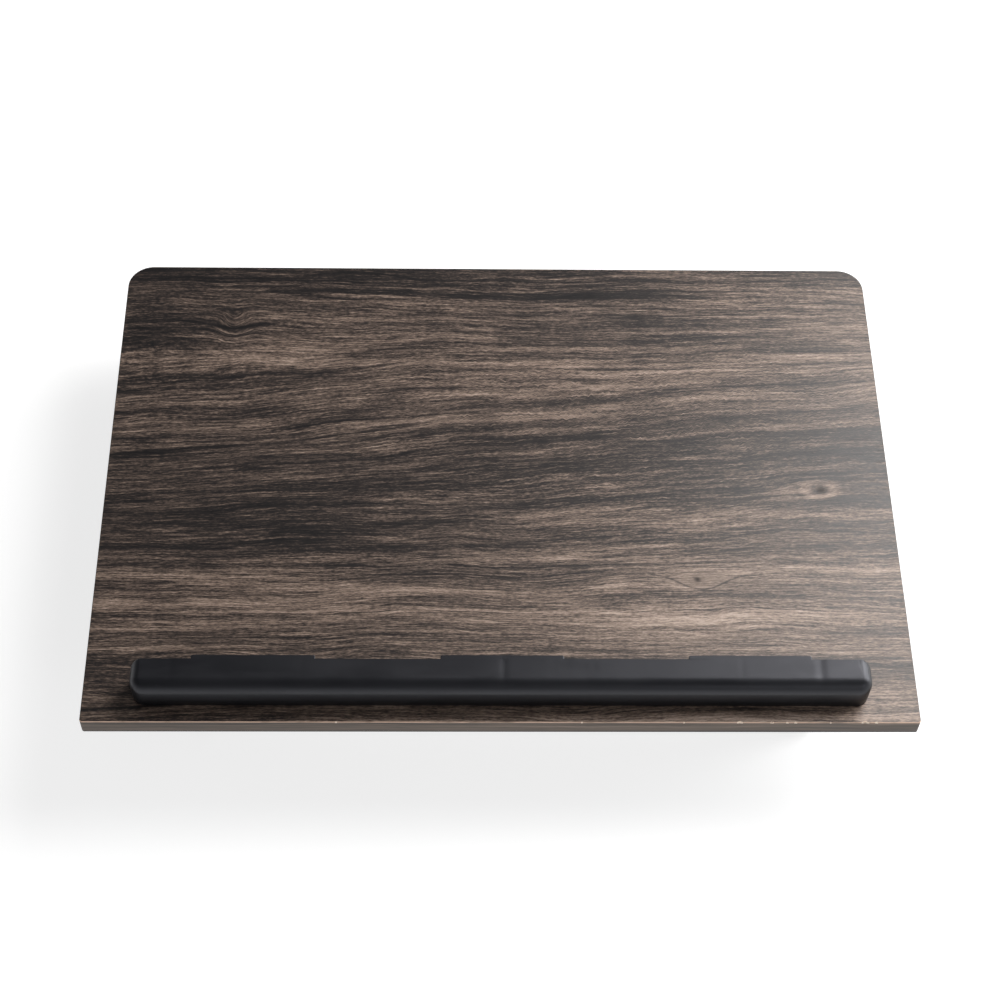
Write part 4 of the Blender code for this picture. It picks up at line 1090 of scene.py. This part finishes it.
def add_fasteners():
    """Screw heads of the bars, hinge leaves, stay brackets and straps."""
    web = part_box("upper_rail_right")[1][0]
    for place in ("front", "mid", "rear"):
        middle = centre("upper_%s_bar" % place)
        head = SMALL_BAR_SCREW if place == "mid" else BAR_SCREW
        for side, sign in SIDES:
            spot = (sign * web, middle.y, middle.z)
            screw_head("X", spot, sign, head, "bar_screw_%s_%s" % (place, side), "top_frame")
    for side, sign in SIDES:
        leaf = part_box("hinge_board_leaf_" + side)
        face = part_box("hinge_frame_leaf_" + side)
        plate_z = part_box("bottom_laminate")[0][2] - LEAF_THICKNESS
        plate_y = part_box("upper_front_bar")[0][1] - LEAF_THICKNESS
        bracket = centre("stay_bracket_" + side)
        for number, shift in enumerate((-17 * MM, 0.0, 17 * MM), start=1):
            x = sign * HINGE_X + shift
            screw_head("Z", (x, leaf[1][1] - 7 * MM, plate_z), -1, LEAF_SCREW,
                       "leaf_screw_%s_%d" % (side, number), "board")
            screw_head("Y", (x, plate_y, face[0][2] + 7 * MM), -1, LEAF_SCREW,
                       "frame_leaf_screw_%s_%d" % (side, number), "top_frame")
        for number, shift in enumerate((-10.6 * MM, 10.6 * MM), start=1):
            screw_head("Z", (bracket.x + shift, bracket.y, plate_z), -1, STAY_SCREW,
                       "stay_screw_%s_%d" % (side, number), "board")
        for end in ("front", "rear"):
            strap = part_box("base_strap_" + end)
            low = strap[0]
            y = (low[1] + strap[1][1]) / 2 if end == "front" else low[1] + 12 * MM
            for number, shift in enumerate((-6 * MM, 6 * MM), start=1):
                screw_head("Z", (sign * RIVET_X, y + shift, low[2]), -1, RIVET,
                           "strap_rivet_%s_%s_%d" % (end, side, number), "base")


REFINED = (
    # nodes whose own shape is kept, with the width of their eased edges in millimetres
    ("base_rail", 0.45), ("upper_rail", 0.45), ("base_strap", 0.4), ("upper_front_bar", 0.4),
    ("upper_mid_bar", 0.4), ("upper_rear_bar", 0.4), ("outer_arm", 0.5), ("inner_arm", 0.5), ("hinge", 0.25),
    ("stay_leg", 0.5), ("stay_bracket", 0.3), ("lock_housing", 0.4), ("lever_bracket", 0.35),
    ("release_lever", 0.6), ("lock_plate", 0.4), ("lower_shoe", 0.6), ("upper_shoe", 0.6), ("lock_rod", 0.3),
)


def add_mechanism():
    for name in sorted(NODES):
        for start, width in REFINED:
            if name.startswith(start):
                refine(name, width * MM)
                break
    add_shafts()
    add_turned_parts()
    add_rail_caps()
    add_springs()
    add_fasteners()


# --------------------------------------------------------------- studio and view

CAMERA_PLACE = (-0.0363, -0.9265, 1.4345)
CAMERA_RIGHT = Vector((0.99973, -0.00973, 0.02074))
CAMERA_UP = Vector((-0.00352, 0.82915, 0.55901))
FOCAL_LENGTH = 76.7
WHITE = (1.0, 1.0, 1.0)
LIGHTS = (
    # name, place, target, size, radiance, colour
    ("key", (1.12, 0.82, 1.45), (0.05, 0.0, 0.05), (1.25, 1.2), 10.7, (1.0, 0.99, 0.98)),
    ("side", (2.00, 0.45, 0.85), (0.1, -0.05, 0.1), (0.8, 1.2), 10.0, WHITE),
    ("front", (1.25, -1.80, 1.32), (0.1, -0.15, 0.1), (1.6, 0.6), 3.0, WHITE),
)
# The sky fades from the horizon up: height where it starts and ends, brightness there
SKY_FADE = (("From Min", 0.06), ("From Max", 0.42), ("To Min", 0.84), ("To Max", 0.12))


def add_camera():
    """A long lens above and in front of the board, looking down at it."""
    data = bpy.data.cameras.new("camera")
    data.lens = FOCAL_LENGTH
    data.sensor_width = 36.0
    data.clip_end = 50.0
    back = CAMERA_RIGHT.cross(CAMERA_UP)
    turn = Matrix((CAMERA_RIGHT, CAMERA_UP, back)).transposed().to_4x4()
    camera = bpy.data.objects.new("camera", data)
    camera.matrix_world = Matrix.Translation(CAMERA_PLACE) @ turn
    bpy.context.collection.objects.link(camera)
    bpy.context.scene.camera = camera


def add_area_light(name, place, target, size, radiance, colour):
    data = bpy.data.lights.new(name, "AREA")
    data.shape = "RECTANGLE"
    data.size, data.size_y = size
    data.energy = radiance * math.pi * size[0] * size[1]
    data.color = colour
    lamp = bpy.data.objects.new(name, data)
    lamp.location = place
    lamp.rotation_euler = (Vector(target) - Vector(place)).to_track_quat("-Z", "Y").to_euler()
    bpy.context.collection.objects.link(lamp)


def add_studio():
    """World, lights and floor."""
    scene = bpy.context.scene
    world = bpy.data.worlds.new("studio")
    world.use_nodes = True
    tree = world.node_tree
    background = tree.nodes["Background"]
    background.inputs["Color"].default_value = (0.97, 0.98, 1.0, 1.0)
    split = tree.nodes.new("ShaderNodeSeparateXYZ")
    fade = tree.nodes.new("ShaderNodeMapRange")
    fade.interpolation_type = "SMOOTHSTEP"
    for name, number in SKY_FADE:
        fade.inputs[name].default_value = number
    tree.links.new(tree.nodes.new("ShaderNodeTexCoord").outputs["Generated"], split.inputs[0])
    tree.links.new(split.outputs["Z"], fade.inputs["Value"])
    tree.links.new(fade.outputs["Result"], background.inputs["Strength"])
    scene.world = world
    scene.view_settings.view_transform = "Standard"
    for light in LIGHTS:
        add_area_light(*light)
    bm = bmesh.new()
    bmesh.ops.create_grid(bm, x_segments=8, y_segments=8, size=40.0)
    mesh = bpy.data.meshes.new("floor")
    bm.to_mesh(mesh)
    bm.free()
    mesh.materials.append(floor_material())
    floor = bpy.data.objects.new("floor", mesh)
    bpy.context.collection.objects.link(floor)


def main():
    add_camera()
    add_studio()
    for name, node in NODES.items():
        node.data.materials.clear()
        node.data.materials.append(FINISHES[SLOT_OF[name]])
    top_sheet_piece()
    edge_band_piece()
    ledge_piece()
    for number in (1, 2, 3):
        pad_piece("ledge_pad_%d" % number)
    add_mechanism()


main()
